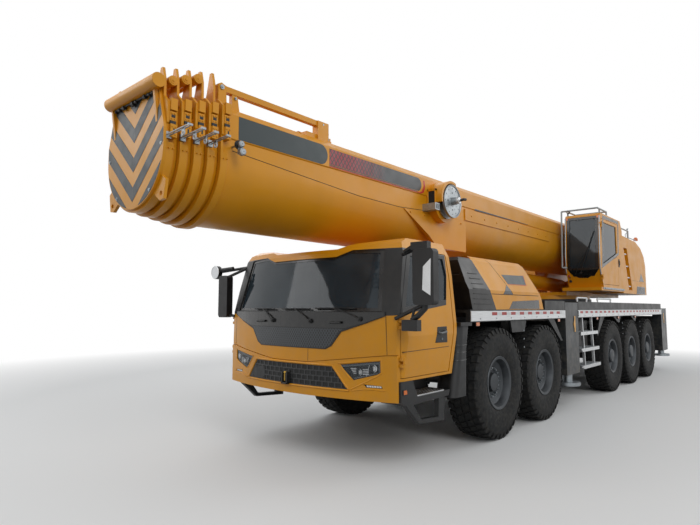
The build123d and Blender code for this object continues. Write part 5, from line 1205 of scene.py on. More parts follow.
    def screen_frit(self) -> None:
        """Lays the black border of the windscreen's glass."""
        draft = Draft("windscreen_border")
        half = [(1.235, 1.717), (1.152, 2.398), (0.750, 2.413), (0.540, 2.343)]
        ring = [*half, *[(-y, z) for y, z in reversed(half)]]
        centre = (0.0, 2.04)
        inner = [(y * 0.955, centre[1] + (z - centre[1]) * 0.90) for y, z in ring]
        for strip in framed(ring, inner):
            self.screen_film(draft, strip)
        draft.piece(self.looks.gloss_black)

    def screen_film(self, draft: Draft, outline: Outline) -> None:
        """Adds a film just outside the windscreen, drawn in (Y, Z)."""
        cuts = [0.1 * k for k in range(-13, 14)]
        draft.skin(outline, lambda y, z, depth: (self.glass_x(y, z) + depth, y, z), -0.0145, 0.0015, cuts)

    def doors(self) -> None:
        """Adds each door's handle recess with its bar, and a thin dark line of painted shade along its lower
        crease.
        """
        for side_name, side in SIDES:
            body = f"cab_door_{side_name}"
            y = side * 1.4525
            recess = Draft(f"door_recess_{side_name}")
            recess.prism(self.side_view((1.542, 1.535), (1.345, 1.537), (1.336, 1.351), (1.601, 1.356)),
                Axis.Y, side * 1.430, side * 1.4515)
            recess.piece(self.looks.plastic, body, bevel_mm=6.0)
            handle = Draft(f"door_handle_{side_name}")
            handle.tube([(self.x(1.40), y + side * 0.004, 1.49), (self.x(1.405), y + side * 0.03, 1.475),
                (self.x(1.53), y + side * 0.03, 1.465), (self.x(1.54), y + side * 0.004, 1.475)], 0.011, 10)
            handle.pin(self.x(1.46), 1.395, side * 1.447, side * 1.456, 0.014, 20)
            handle.piece(self.looks.grey_plastic, body)
            # a thin dark line in the lower crease: painted shade
            crease = Draft(f"door_crease_{side_name}")
            crease.prism(self.side_view((1.30, 1.300), (2.215, 1.286), (2.215, 1.290), (1.30, 1.304)), Axis.Y,
                side * 1.42, side * 1.4475)
            crease.piece(self.looks.plastic, body)

    def mirror_glass(self) -> None:
        """Adds the mirrors' glass, behind, and the bright insert in front."""
        glass, insert = Draft("mirror_glass"), Draft("mirror_inserts")
        rear = self.x(2.245)
        front = self.x(2.345)
        for low_y, high_y, low_z, high_z in ((1.675, 1.875, 1.99, 2.325), (1.675, 1.875, 1.805, 1.965),
                (-1.665, -1.515, 1.85, 2.185), (-1.665, -1.515, 1.645, 1.825)):
            glass.block((rear - 0.002, low_y, low_z), (rear + 0.002, high_y, high_z))
        insert.prism([(1.872, 2.245), (1.781, 2.166), (1.769, 1.933), (1.865, 1.874)], Axis.X, front - 0.001,
            front + 0.003)
        at = (self.x(2.329), -1.805, 2.265)
        glass.tube([at, (at[0] + 0.003, at[1], at[2])], 0.083, 40)
        insert.ring((at[0] + 0.002, at[1], at[2]), Axis.X.value, 0.088, 0.006)
        arms = Draft("mirror_arms")
        for path, radius in ((((2.295, 1.78, 1.83), (2.292, 1.765, 1.745), (2.285, 1.68, 1.675),
                (2.28, 1.60, 1.625)), 0.030), (((2.30, 1.70, 2.36), (2.27, 1.60, 2.385), (2.20, 1.462, 2.35)),
                0.024), (((2.295, -1.79, 2.265), (2.29, -1.68, 2.30), (2.25, -1.48, 2.315)), 0.024)):
            arms.tube([(self.x(x), y, z) for x, y, z in path], radius, 14)
        arms.piece(self.looks.plastic, smooth_deg=60.0)
        glass.piece(self.looks.chrome, slot="chrome")
        insert.piece(self.looks.aluminium, slot="bare_aluminium", bevel_mm=1.0)

    def seams(self) -> None:
        """Draws the joints of the nose's corner panels."""
        draft = Draft("nose_seams")
        for _, side in SIDES:
            self.nose_film(draft, mirrored([(1.298, 1.255), (1.302, 1.255), (1.290, 1.67), (1.286, 1.67)],
                side), 0.0005, 0.0012)
        self.nose_film(draft, rectangle(0.30, 0.304, 1.150, 1.285), 0.0005, 0.0012)
        draft.piece(self.looks.plastic)
        lamp = Draft("step_lamps")
        for _, side in SIDES:
            lamp.prism(self.side_view((2.165, 0.850), (2.225, 0.848), (2.225, 0.892), (2.17, 0.890)), Axis.Y,
                side * 1.4475, side * 1.4505)
        lamp.piece(self.looks.amber_lens, slot="lamp_lens", bevel_mm=1.0)

    def grille(self) -> None:
        """Fills the grille's opening with staggered cells before a dark back, which is painted shade behind
        the cells.
        """
        opening = [(-0.848, 0.872), (0.848, 0.872), (0.646, 1.103), (-0.646, 1.103)]
        back, bars = Draft("grille_back"), Draft("grille_cells")
        self.nose_film(back, opening, 0.0, 0.0008)
        rows, pitch = 4, 0.0575
        for row in range(rows + 1):
            z = 0.868 + row * pitch
            self.bar(bars, opening, rectangle(-0.9, 0.9, z, z + 0.013))
        for row in range(rows):
            z = 0.874 + row * pitch
            for column in range(-12, 13):
                y = 0.086 * (column + (0.5 if row % 2 else 0.0))
                self.bar(bars, opening, rectangle(y - 0.008, y + 0.008, z, z + pitch))
        back.piece(self.looks.shade_black)
        bars.piece(self.looks.grille)
        lip = Draft("bumper_ridges")
        for path, radius in ((((-0.868, 0.858), (0.868, 0.858), (0.655, 1.118), (-0.655, 1.118),
                (-0.868, 0.858), (-0.80, 0.858)), 0.013),
                (((0.885, 0.872), (1.195, 1.030), (1.244, 1.062), (1.240, 1.203), (0.735, 1.144),
                (0.885, 0.985)), 0.009), (((0.90, 0.862), (1.06, 0.888), (1.285, 0.886)), 0.009)):
            for side in ((1.0,) if path[0][0] < 0 else (1.0, -1.0)):
                line = [point for (y0, z0), (y1, z1) in zip(path, path[1:]) for point in (
                    (y0 + (y1 - y0) * k / 8, z0 + (z1 - z0) * k / 8) for k in range(8))] + [path[-1]]
                lip.tube([(self.nose_x(y, 0.003), side * y, z) for y, z in line], radius, 10)
        lip.piece(self.looks.yellow, slot="yellow_paint", smooth_deg=60.0)

    def bar(self, draft: Draft, opening: Outline, outline: Outline) -> None:
        """Adds a bar of the grille, cut to the opening."""
        shape = clipped(outline, opening)
        if len(shape) > 2:
            self.nose_film(draft, shape, 0.0006, 0.0046)

    def grille_parts(self) -> None:
        """Adds the tow coupling with its pin in the middle of the grille."""
        body = Draft("tow_coupling")
        x = self.nose_x(0.0, 0.0)
        for y in (-0.085, -0.005):
            body.block((x - 0.02, y, 0.862), (x + 0.055, y + 0.022, 1.0))
        body.block((x - 0.015, -0.085, 0.862), (x + 0.055, 0.017, 0.882))
        body.piece(self.looks.plastic, bevel_mm=4.0)
        pin = Draft("tow_pin")
        pin.tube([(x + 0.036, -0.034, 0.90), (x + 0.036, -0.034, 0.985)], 0.012, 16)
        pin.tube([(x + 0.036, -0.034, 0.985), (x + 0.03, -0.034, 1.005)], 0.018, 16)
        pin.piece(self.looks.brass, slot="steel")
        plate = Draft("grille_service_panel")
        self.nose_film(plate, [(-0.83, 0.876), (-0.47, 0.876), (-0.47, 1.030), (-0.70, 1.030)], 0.001, 0.0046)
        for y, z in ((-0.74, 0.90), (-0.66, 1.01), (-0.50, 0.90), (-0.50, 1.01)):
            plate.tube([(self.nose_x(y, 0.004), y, z), (self.nose_x(y, 0.0085), y, z)], 0.009, 6)
        plate.piece(self.looks.plastic)

    def inside(self) -> None:
        """Adds the steering wheel, column and head rests, seen through the glass."""
        wheel = Draft("steering_wheel")
        hub = Vector((self.x(1.86), 0.85, 1.70))
        tilt = Vector((-0.55, 0.0, 0.83)).normalized()
        wheel.ring(hub, tilt, 0.23, 0.016)
        for turn in (0.0, 2.1, 4.2):
            across = tilt.orthogonal().normalized()
            other = tilt.cross(across)
            rim = hub + 0.22 * (cos(turn) * across + sin(turn) * other)
            wheel.tube([hub, rim], 0.014, 8)
        wheel.tube([hub, hub - tilt * 0.16], 0.035, 14)
        wheel.piece(self.looks.plastic)
        rests = Draft("head_rests")
        for y in (0.85, -0.85):
            rests.block((self.x(1.29), y - 0.14, 2.14), (self.x(1.37), y + 0.14, 2.30))
        rests.piece(self.looks.cloth, slot="seat_cloth", bevel_mm=25.0)

    def build(self) -> None:
        """Dresses the cab."""
        for make in (self.headlights, self.mesh, self.wiper_set, self.screen_frit, self.doors,
                self.mirror_glass, self.seams, self.grille, self.grille_parts, self.inside):
            make()


# ---- carrier
@dataclass
class CarrierDress(Dress):
    """Reflectors, lamps, treads, grab rails and bolts along the carrier's deck and sides."""

    rail_y: float = 1.5002
    rail_low: float = 1.590
    rail_high: float = 1.708
    marker_x: tuple[float, ...] = (0.646, -2.22, -4.34, -5.87, -7.33)

    def side_rails(self) -> None:
        """Adds the lips of the deck's side rails, their red and white tape and their bolts."""
        lips, red, white, bolts = (Draft(f"side_rail_{part}")
            for part in ("lips", "red_tape", "white_tape", "bolts"))
        for _, side in SIDES:
            for front, rear in ((0.66, -2.42), (-3.15, -10.30)):
                for low, high in ((1.585, 1.597), (1.701, 1.713), (1.638, 1.643)):
                    lips.block((self.x(front), side * 1.499, low), (self.x(rear), side * 1.5006, high))
            for front, rear in ((0.272, -2.40), (-3.28, -10.25)):
                count = int((front - rear) / 0.294)
                for k in range(count):
                    x = self.x(front - 0.294 * k)
                    red.block((x, side * 1.499, 1.655), (x - 0.150, side * 1.5012, 1.697))
                    white.block((x - 0.150, side * 1.499, 1.655), (x - 0.294, side * 1.5012, 1.697))
            for k in range(24):
                ahead = 0.60 - 0.46 * k
                if not -3.15 < ahead < -2.42:       # where the outrigger box breaks the rail
                    bolts.pin(self.x(ahead), 1.615, side * 1.499, side * 1.5045, 0.011, 6)
        lips.piece(self.looks.aluminium, slot="bare_aluminium")
        red.piece(self.looks.red_tape, slot="lamp_lens")
        white.piece(self.looks.white_tape, slot="bare_aluminium")
        bolts.piece(self.looks.zinc, slot="steel")

    def markers(self) -> None:
        """Adds the lenses of the marker lamps, the tail lamps and a blank plate."""
        amber, red, plate = Draft("marker_lenses"), Draft("tail_lenses"), Draft("number_plate_blank")
        for _, side in SIDES:
            for x in self.marker_x:
                amber.prism(rectangle(self.x(x) - 0.044, self.x(x) + 0.044, 1.526, 1.569), Axis.Y,
                    side * 1.4845, side * 1.4885)
            for low, high, lens in ((0.72, 0.90, red), (0.91, 1.06, amber), (1.07, 1.235, red)):
                lens.block((self.x(-11.1998), side * low, 1.062), (self.x(-11.196), side * high, 1.168))
        plate.block((self.x(-11.1998), -0.26, 1.055), (self.x(-11.195), 0.26, 1.175))
        amber.piece(self.looks.amber_lens, slot="lamp_lens", bevel_mm=1.5)
        red.piece(self.looks.red_lens, slot="lamp_lens", bevel_mm=1.5)
        plate.piece(self.looks.white_tape, slot="bare_aluminium", bevel_mm=1.0)

    def ladder(self) -> None:
        """Adds grips on the treads of the deck ladders, and bright edges."""
        grips = Draft("ladder_grips")
        edges = Draft("ladder_edges")
        for _, side in SIDES:
            for top, lean in ((0.69, 0.11), (1.005, 0.055), (1.31, 0.0)):
                for k in range(16):
                    x = self.x(-4.32 + 0.06 * k)
                    for y in (1.29, 1.35, 1.41):
                        grips.tube([(x, side * (y + lean * 0.2), top - 0.002),
                            (x, side * (y + lean * 0.2), top + 0.004)], 0.012, 8)
                edges.block((self.x(-4.355), side * 1.479, top - 0.03),
                    (self.x(-3.345), side * 1.4815, top - 0.004))
        grips.piece(self.looks.zinc, slot="bare_aluminium")
        edges.piece(self.looks.aluminium, slot="bare_aluminium", bevel_mm=0.8)

    def grab_rails(self) -> None:
        """Adds the white sleeves of the grab rails on the deck's edge."""
        draft = Draft("grab_rail_sleeves")
        for _, side in SIDES:
            for front, rear in ((-3.23, -3.80), (-4.46, -5.40)):
                y = side * 1.462
                draft.tube([(self.x(front), y, 1.90), (self.x(front), y, 1.925),
                    (self.x(front - 0.03), y, 1.94), (self.x(rear + 0.03), y, 1.94), (self.x(rear), y, 1.925),
                    (self.x(rear), y, 1.90)], 0.0165, 12)
        draft.piece(self.looks.white_enamel, slot="grey_paint")

    def deck_plate(self) -> None:
        """Adds the raised pattern of the deck's tread plate."""
        draft = Draft("deck_tread")
        for _, side in SIDES:
            for column in range(84):
                x = self.x(-2.75 - 0.092 * column)
                for row in range(5):
                    y = side * (1.02 + 0.085 * row)
                    lean = 0.016 if (column + row) % 2 else -0.016
                    draft.prism([(x - 0.017, y - lean - 0.003), (x + 0.017, y + lean - 0.003),
                        (x + 0.017, y + lean + 0.003), (x - 0.017, y - lean + 0.003)], Axis.Z, 1.869, 1.8725)
        draft.piece(self.looks.black, slot="black_paint")

    def guards(self) -> None:
        """Adds the column's moulded bands and the studs of the mud flaps."""
        bands, studs = Draft("column_bands"), Draft("flap_studs")
        for _, side in SIDES:
            for z in (1.300, 1.215, 1.120):
                share = (1.25 - z) / 0.56 if z < 1.25 else (1.25 - z) / 0.25
                middle = 0.985 + (0.090 if z < 1.25 else 0.050) * share
                half = (0.120 + (0.055 if z < 1.25 else -0.020) * share,
                    0.140 + (0.005 if z < 1.25 else 0.005) * share)
                self.band(bands, (self.x(middle), side * 1.33, z), half, 0.088)
            for x in (-0.81, -6.24, -7.84):
                for z in (1.42, 1.30, 1.18):
                    studs.pin(self.x(x), z, side * 1.464, side * 1.471, 0.012, 12)
        bands.piece(self.looks.gloss_black)
        studs.piece(self.looks.zinc, slot="steel")

    def band(self, draft: Draft, centre: Point, half: tuple[float, float], corner: float) -> None:
        """Adds a raised band round a column with rounded corners.

        Args:
            draft: the mesh it goes to.
            centre: the column's middle at the band.
            half: half its length and half its width there.
            corner: radius of its corners.
        """
        path = []
        for quarter, (sx, sy) in enumerate(((1, 1), (-1, 1), (-1, -1), (1, -1))):
            for k in range(7):
                angle = pi / 2 * (quarter + k / 6)
                path.append((centre[0] + sx * (half[0] - corner) + corner * cos(angle),
                    centre[1] + sy * (half[1] - corner) + corner * sin(angle), centre[2]))
        draft.tube([*path, path[0], path[1]], 0.006, 8)

    def slew_bolts(self) -> None:
        """Sets the bolts round the slewing ring's inner race and the teeth of its outer one."""
        bolts, teeth = Draft("slew_ring_bolts"), Draft("slew_ring_teeth")
        low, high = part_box("slew_ring")
        centre = ((low[0] + high[0]) / 2, (low[1] + high[1]) / 2)
        radius = (high[0] - low[0]) / 2
        for k in range(60):
            angle = tau * k / 60
            x, y = centre[0] + (radius - 0.05) * cos(angle), centre[1] + (radius - 0.05) * sin(angle)
            bolts.tube([(x, y, high[2] - 0.09), (x, y, high[2] - 0.078)], 0.014, 6)
        for k in range(120):
            a, b = tau * (k - 0.22) / 120, tau * (k + 0.22) / 120
            root, tip = radius - 0.004, radius - 0.0005
            teeth.prism([(centre[0] + root * cos(a), centre[1] + root * sin(a)),
                (centre[0] + root * cos(b), centre[1] + root * sin(b)),
                (centre[0] + tip * cos(b * 0.6 + a * 0.4), centre[1] + tip * sin(b * 0.6 + a * 0.4)),
                (centre[0] + tip * cos(a * 0.6 + b * 0.4), centre[1] + tip * sin(a * 0.6 + b * 0.4))], Axis.Z,
                low[2] + 0.01, low[2] + 0.05)
        bolts.piece(self.looks.zinc, slot="steel")
        teeth.piece(self.looks.zinc, slot="steel")

    def beams(self) -> None:
        """Adds the hazard arrow and bolts of each outrigger box's end."""
        for place, x in (("front", -2.85), ("rear", -10.575)):
            for side_name, side in SIDES:
                body = f"outrigger_beam_{place}_{side_name}"
                low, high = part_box(body)
                y = high[1] if side > 0 else low[1]
                at = self.x(x)
                bolts = Draft(f"{body}_bolts")
                for dx in (-0.13, 0.13):
                    for dz in (low[2] + 0.05, high[2] - 0.05):
                        bolts.pin(at + dx, dz, y - side * 0.010, y - side * 0.0005, 0.012, 6)
                bolts.piece(self.looks.zinc, body, "steel")
        hazard = Draft("hazard_arrows")
        for _, side in SIDES:
            for x in (-2.948, -10.49):
                at = self.x(x)
                hazard.prism([(at - 0.048, 1.33), (at + 0.006, 1.33), (at + 0.006, 1.39), (at + 0.048, 1.47),
                    (at + 0.006, 1.55), (at + 0.006, 1.61), (at - 0.048, 1.61)], Axis.Y, side * 1.4995,
                    side * 1.5005)
        hazard.piece(self.looks.yellow_film, slot="yellow_paint")

    def steps(self) -> None:
        """Adds the punched pattern of the cab's steps."""
        draft = Draft("cab_step_grips")
        for _, side in SIDES:
            for column in range(9):
                for row in range(4):
                    x, y = self.x(1.45 + 0.056 * column), side * (1.25 + 0.05 * row)
                    draft.ring((x, y, 0.812), Axis.Z.value, 0.014, 0.003)
        draft.piece(self.looks.black, slot="black_paint")

    def build(self) -> None:
        """Dresses the carrier."""
        for make in (self.side_rails, self.markers, self.ladder, self.grab_rails, self.deck_plate,
                self.guards, self.slew_bolts, self.beams, self.steps):
            make()


# ---- engine cover
@dataclass
class CoverDress(Dress):
    """Seams, louvres, black lower band and corner patch of the engine cover."""

    section: Outline = ((1.4805, 1.713), (1.470, 1.990), (1.330, 2.380),
        (1.270, 2.440))

    def cover_y(self, height: float) -> float:
        """How far out the cover's side is at a height."""
        for (y0, z0), (y1, z1) in zip(self.section, self.section[1:]):
            if height <= z1:
                return y0 + (y1 - y0) * (height - z0) / (z1 - z0)
        return self.section[-1][0]

    def face(self, draft: Draft, outline: Outline, side: float, proud: float = 0.0015) -> None:
        """Adds a thin sheet on the cover's side, drawn in (X, Z)."""
        draft.skin(outline, lambda x, z, out: (self.x(x), side * (self.cover_y(z) + out), z), 0.0002, proud,
            (), [z for _, z in self.section[1:-1]])

    def build(self) -> None:
        """Dresses the engine cover."""
        black, seams, plate = Draft("cover_black_panels"), Draft("cover_seams"), Draft("cover_plate")
        red, louvres = Draft("cover_plate_edge"), Draft("cover_louvres")
        for _, side in SIDES:
            self.face(black, [(-0.304, 1.738), (-0.434, 1.847), (-1.405, 1.876), (-1.405, 1.738)], side)
            self.face(black, [(-0.322, 2.083), (-0.145, 1.946), (-0.452, 1.943)], side)
            for (x0, z0), (x1, z1) in (((0.019, 2.412), (-0.461, 1.946)), ((0.212, 1.94), (-1.395, 1.94))):
                across = 0.004 if z0 == z1 else 0.0
                self.face(seams, [(x0 - 0.004 + across, z0 + across), (x0 + 0.004 - across, z0 - across),
                    (x1 + 0.004 - across, z1 - across), (x1 - 0.004 + across, z1 + across)], side, 0.001)
            self.face(plate, [(-0.275, 2.225), (-1.040, 2.243), (-1.020, 2.100), (-0.380, 2.096)], side)
            self.face(red, [(-0.90, 2.243), (-1.060, 2.248), (-1.038, 2.088), (-0.386, 2.084),
                (-0.388, 2.091), (-1.028, 2.096), (-1.047, 2.238)], side, 0.0012)
            for k in range(7):
                z = 1.80 + 0.066 * k
                back = -0.82 + 0.59 * z
                self.face(louvres, rectangle(0.72, back, z, z + 0.010), side, 0.006)
        black.piece(self.looks.gloss_black, slot="black_paint")
        seams.piece(self.looks.rubber)
        plate.piece(self.looks.slate_film)
        red.piece(self.looks.red_film)
        louvres.piece(self.looks.black, slot="black_paint", bevel_mm=1.0)


# ---- operator's cab
@dataclass
class UpperCabDress(Dress):
    """Wiper, seals, guard frame, lamps and panels of the operator's cab."""

    def front_x(self, z: float) -> float:
        """Where the front of the cab is, at a height."""
        ahead = -4.83
        points = ((2.19, -0.17), (2.56, -0.02), (2.90, -0.01), (3.72, -0.08))
        for (z0, x0), (z1, x1) in zip(points, points[1:]):
            if z <= z1:
                return self.x(ahead + x0 + (x1 - x0) * (z - z0) / (z1 - z0))
        return self.x(ahead + points[-1][1])

    def front_film(self, draft: Draft, outline: Outline, out: float, thickness: float) -> None:
        """Adds a thin sheet over the cab's front, drawn in (Y, Z)."""
        draft.skin(outline, lambda y, z, depth: (self.front_x(z) + depth, y, z), out, thickness, (),
            (2.56, 2.90))

    def front(self) -> None:
        """Adds the black V under the windscreen, the screen's border, and the corner lamps."""
        black = Draft("operator_front_black")
        self.front_film(black, [(0.755, 2.60), (0.845, 2.47), (0.98, 2.395), (1.16, 2.385), (1.32, 2.47),
            (1.425, 2.60)], 0.0005, 0.0015)
        black.piece(self.looks.gloss_black, "superstructure")
        border = Draft("operator_screen_border")
        outer = [(0.770, 2.60), (0.880, 2.425), (1.300, 2.425), (1.415, 2.57), (1.415, 3.70), (0.770, 3.70)]
        inner = [(0.830, 2.615), (0.925, 2.470), (1.270, 2.470), (1.360, 2.59), (1.360, 3.645),
            (0.830, 3.645)]
        for strip in framed(outer, inner):
            self.front_film(border, strip, 0.0008, 0.0015)
        border.piece(self.looks.gloss_black, "superstructure")
        amber, red, dark = (Draft(f"operator_{part}") for part in ("markers", "red_lamp", "round_lamps"))
        for y in (0.775, 1.405):
            amber.block((self.front_x(3.66) - 0.004, y - 0.02, 3.655),
                (self.front_x(3.66) + 0.008, y + 0.02, 3.705))
        red.block((self.front_x(2.44) - 0.004, 0.765, 2.42), (self.front_x(2.44) + 0.010, 0.80, 2.475))
        for z, r in ((2.33, 0.03), (2.405, 0.014)):
            dark.tube([(self.front_x(z) - 0.006, 0.80, z), (self.front_x(z) + 0.012, 0.80, z)], r, 24)
        amber.piece(self.looks.amber_lens, "superstructure", "lamp_lens", bevel_mm=1.5)
        red.piece(self.looks.red_lens, "superstructure", "lamp_lens", bevel_mm=1.5)
        dark.piece(self.looks.plastic, "superstructure", bevel_mm=1.5)

    def wiper(self) -> None:
        """Builds the single long wiper and its motor cap."""
        draft = Draft("operator_wiper")
        pivot = (self.front_x(2.50) + 0.012, 1.04, 2.50)
        tip = (self.front_x(3.08) + 0.018, 1.24, 3.08)
        draft.tube([(pivot[0] - 0.02, pivot[1], pivot[2]), pivot], 0.022, 18)
        draft.tube([pivot, (self.front_x(2.8) + 0.020, 1.15, 2.80), tip], 0.007, 8)
        draft.tube([(self.front_x(2.74) + 0.006, 1.06, 2.74), (self.front_x(3.05) + 0.006, 1.22, 3.05),
            (self.front_x(3.38) + 0.006, 1.33, 3.38)], 0.008, 8)
        draft.tube([(self.front_x(2.50) + 0.012, 0.93, 2.47), (self.front_x(2.8) + 0.015, 1.05, 2.76)], 0.005,
            8)
        draft.piece(self.looks.plastic, "superstructure")

    def frame(self) -> None:
        """Adds the bright bars up both front corners and over the roof."""
        draft = Draft("operator_corner_bars")
        for y, low in ((0.742, 2.50), (1.438, 2.42)):
            draft.tube([(self.front_x(z) + 0.004, y, z) for z in (low, 2.56, 2.90, 3.30, 3.70)], 0.012, 10)
        draft.piece(self.looks.zinc, "superstructure", "steel")

    def side(self) -> None:
        """Adds the side window's border and the door's lock."""
        window = [(-4.93, 2.584), (-6.255, 2.963), (-6.323, 3.735), (-5.09, 3.724)]
        middle = (sum(x for x, _ in window) / 4, sum(z for _, z in window) / 4)
        border = Draft("operator_door_border")
        inner = [(x + (middle[0] - x) * 0.12, z + (middle[1] - z) * 0.14) for x, z in window]
        for strip in framed(window, inner):
            border.prism(self.side_view(*strip), Axis.Y, 1.4495, 1.4518)
        border.piece(self.looks.gloss_black, "upper_cab_door")
        handle = Draft("operator_door_handle")
        handle.prism(self.side_view((-6.30, 2.68), (-6.19, 2.68), (-6.19, 2.86), (-6.30, 2.86)), Axis.Y,
            1.4485, 1.4530)
        handle.tube([(self.x(-6.245), 1.453, 2.72), (self.x(-6.245), 1.466, 2.74),
            (self.x(-6.245), 1.466, 2.81), (self.x(-6.245), 1.453, 2.83)], 0.008, 8)
        handle.piece(self.looks.plastic, "upper_cab_door", bevel_mm=1.0)

    def inside(self) -> None:
        """Adds levers, seen through the glass."""
        levers = Draft("operator_levers")
        for y in (0.90, 1.30):
            levers.tube([(self.x(-5.42), y, 2.86), (self.x(-5.38), y, 3.02)], 0.014, 10)
            levers.tube([(self.x(-5.38), y, 3.02), (self.x(-5.37), y, 3.10)], 0.024, 12)
        levers.piece(self.looks.plastic, "superstructure", bevel_mm=4.0)

    def platform(self) -> None:
        """Adds the folded plate and rail of the walkway under the cab."""
        plate, rail = Draft("operator_walkway"), Draft("operator_walkway_rail")
        plate.block((self.x(-4.965), 0.78, 2.150), (self.x(-5.045), 1.462, 2.186))
        plate.block((self.x(-5.05), 1.395, 2.150), (self.x(-6.55), 1.470, 2.186))
        for k in range(14):
            x = self.x(-5.12 - 0.105 * k)
            plate.block((x, 1.400, 2.184), (x - 0.05, 1.466, 2.189))
        rail.tube([(self.x(-4.955), y, 2.165 + 0.012 * (k % 2)) for k,
            y in enumerate((0.80, 0.95, 1.12, 1.28, 1.45))], 0.012, 8)
        plate.piece(self.looks.zinc, "superstructure", "steel", bevel_mm=2.0)
        rail.piece(self.looks.zinc, "superstructure", "steel")

    def beacon(self) -> None:
        """Adds the small working lamp at the roof's corner."""
        draft = Draft("operator_work_lamp")
        x = self.x(-4.93)
        draft.tube([(x, 0.80, 3.78), (x, 0.80, 3.83)], 0.010, 10)
        draft.tube([(x - 0.03, 0.80, 3.845), (x + 0.045, 0.80, 3.845)], 0.036, 20)
        draft.piece(self.looks.plastic, "superstructure", bevel_mm=3.0)
        lens = Draft("operator_work_lens")
        lens.tube([(x + 0.045, 0.80, 3.845), (x + 0.050, 0.80, 3.845)], 0.031, 20)
        lens.piece(self.looks.clear_lens, "superstructure", "lamp_lens", bevel_mm=1.5)

    def build(self) -> None:
        """Dresses the operator's cab."""
        for make in (self.front, self.wiper, self.frame, self.side, self.inside, self.platform, self.beacon):
            make()


# ---- tail
@dataclass
class TailDress(Dress):
    """Rungs, grilles, rails and patches of the tail housing."""

    side_y: float = 1.40
    rungs: tuple[tuple[float, float], ...] = ((-7.02, 3.05), (-7.16, 2.76), (-7.26, 2.49), (-7.38, 2.28))

    def face(self, draft: Draft, outline: Outline, side: float, proud: float = 0.0015) -> None:
        """Adds a thin sheet on the tail's side, drawn in (X, Z)."""
        draft.prism(self.side_view(*outline), Axis.Y, side * (self.side_y - 0.002),
            side * (self.side_y + proud))

    def build(self) -> None:
        """Dresses the tail."""
        rungs, grilles, patches, seams = (Draft(f"tail_{part}")
            for part in ("rungs", "grilles", "patches", "seams"))
        for _, side in SIDES:
            for x, z in self.rungs:
                rungs.block((self.x(x - 0.17), side * 1.335, z - 0.013),
                    (self.x(x + 0.17), side * 1.385, z + 0.013))
            self.face(patches, [(-7.96, 2.105), (-8.88, 2.105), (-8.88, 2.30), (-8.05, 2.30)], side)
            for k in range(7):
                z = 2.125 + 0.024 * k
                self.face(grilles, [(-8.03 - 0.002 * k, z), (-8.85, z), (-8.85, z + 0.010),
                    (-8.03, z + 0.010)], side, 0.005)
            self.face(patches, [(-8.503, 2.653), (-8.321, 2.439), (-8.793, 2.44)], side)
            self.face(seams, rectangle(-7.62, -8.84, 2.432, 2.436), side, 0.001)
        mast, lamp = Draft("tail_mast"), Draft("tail_mast_lamp")
        x = self.x(-8.80)
        mast.tube([(x, 1.05, 3.13), (x, 1.05, 3.86)], 0.014, 10)
        mast.tube([(x, 1.05, 3.66), (x - 0.90, 1.05, 3.66)], 0.012, 10)
        mast.tube([(x, 1.05, 3.80), (x + 0.20, 1.05, 3.72), (x + 0.20, 1.05, 3.28)], 0.010, 10)
        mast.tube([(x, 1.05, 3.86), (x - 0.06, 1.05, 3.90)], 0.020, 12)
        lamp.tube([(x - 0.90, 1.05, 3.645), (x - 0.90, 1.05, 3.72)], 0.055, 24)
        lamp.tube([(x - 0.90, 1.05, 3.72), (x - 0.90, 1.05, 3.745)], 0.035, 24)
        mast.piece(self.looks.zinc, "superstructure", "steel")
        lamp.piece(self.looks.amber_lens, "superstructure", "lamp_lens", bevel_mm=4.0)
        rungs.piece(self.looks.aluminium, "superstructure", "bare_aluminium", bevel_mm=2.0)
        patches.piece(self.looks.gloss_black, "superstructure", "black_paint")
        grilles.piece(self.looks.black, "superstructure", "black_paint", bevel_mm=0.8)
        seams.piece(self.looks.rubber, "superstructure")


# ---- the frame's own nodes
@dataclass
class FrameFinish:
    """Gives each node that the frame already shapes its finish."""

    nodes: Mapping[str, bpy.types.Object]
    looks: Finishes

    def choose(self, name: str) -> bpy.types.Material:
        """The finish of a node, by its name."""
        own = self.looks
        table = ((own.glass, ("glass",)), (own.cloth, ("interior",)),
            (own.aluminium, ("side_rails", "access_steps")),
            (own.plastic, ("cab_trim", "mudguards", "lamps")), (own.charcoal, ("outrigger_beam",)),
            (own.zinc, ("outrigger_jack",)), (own.chrome, ("luff_rod",)), (own.grey_enamel, ("handrails",)),
            (own.yellow, ("upper_cab",)), (own.cab, ("cab_shell",)), (own.door, ("cab_door",)),
            (own.cover, ("engine_cover",)), (own.galvanised, ("cable_reel",)),
            (own.black, ("chassis_frame", "axle_beams", "knuckle", "tanks", "deck", "slew_ring",
            "powertrain")))
        return next((finish for finish, parts in table if any(part in name for part in parts)), own.yellow)

    def build(self) -> None:
        """Dresses every node."""
        for name, item in self.nodes.items():
            item.data.materials.clear()
            item.data.materials.append(self.choose(name))


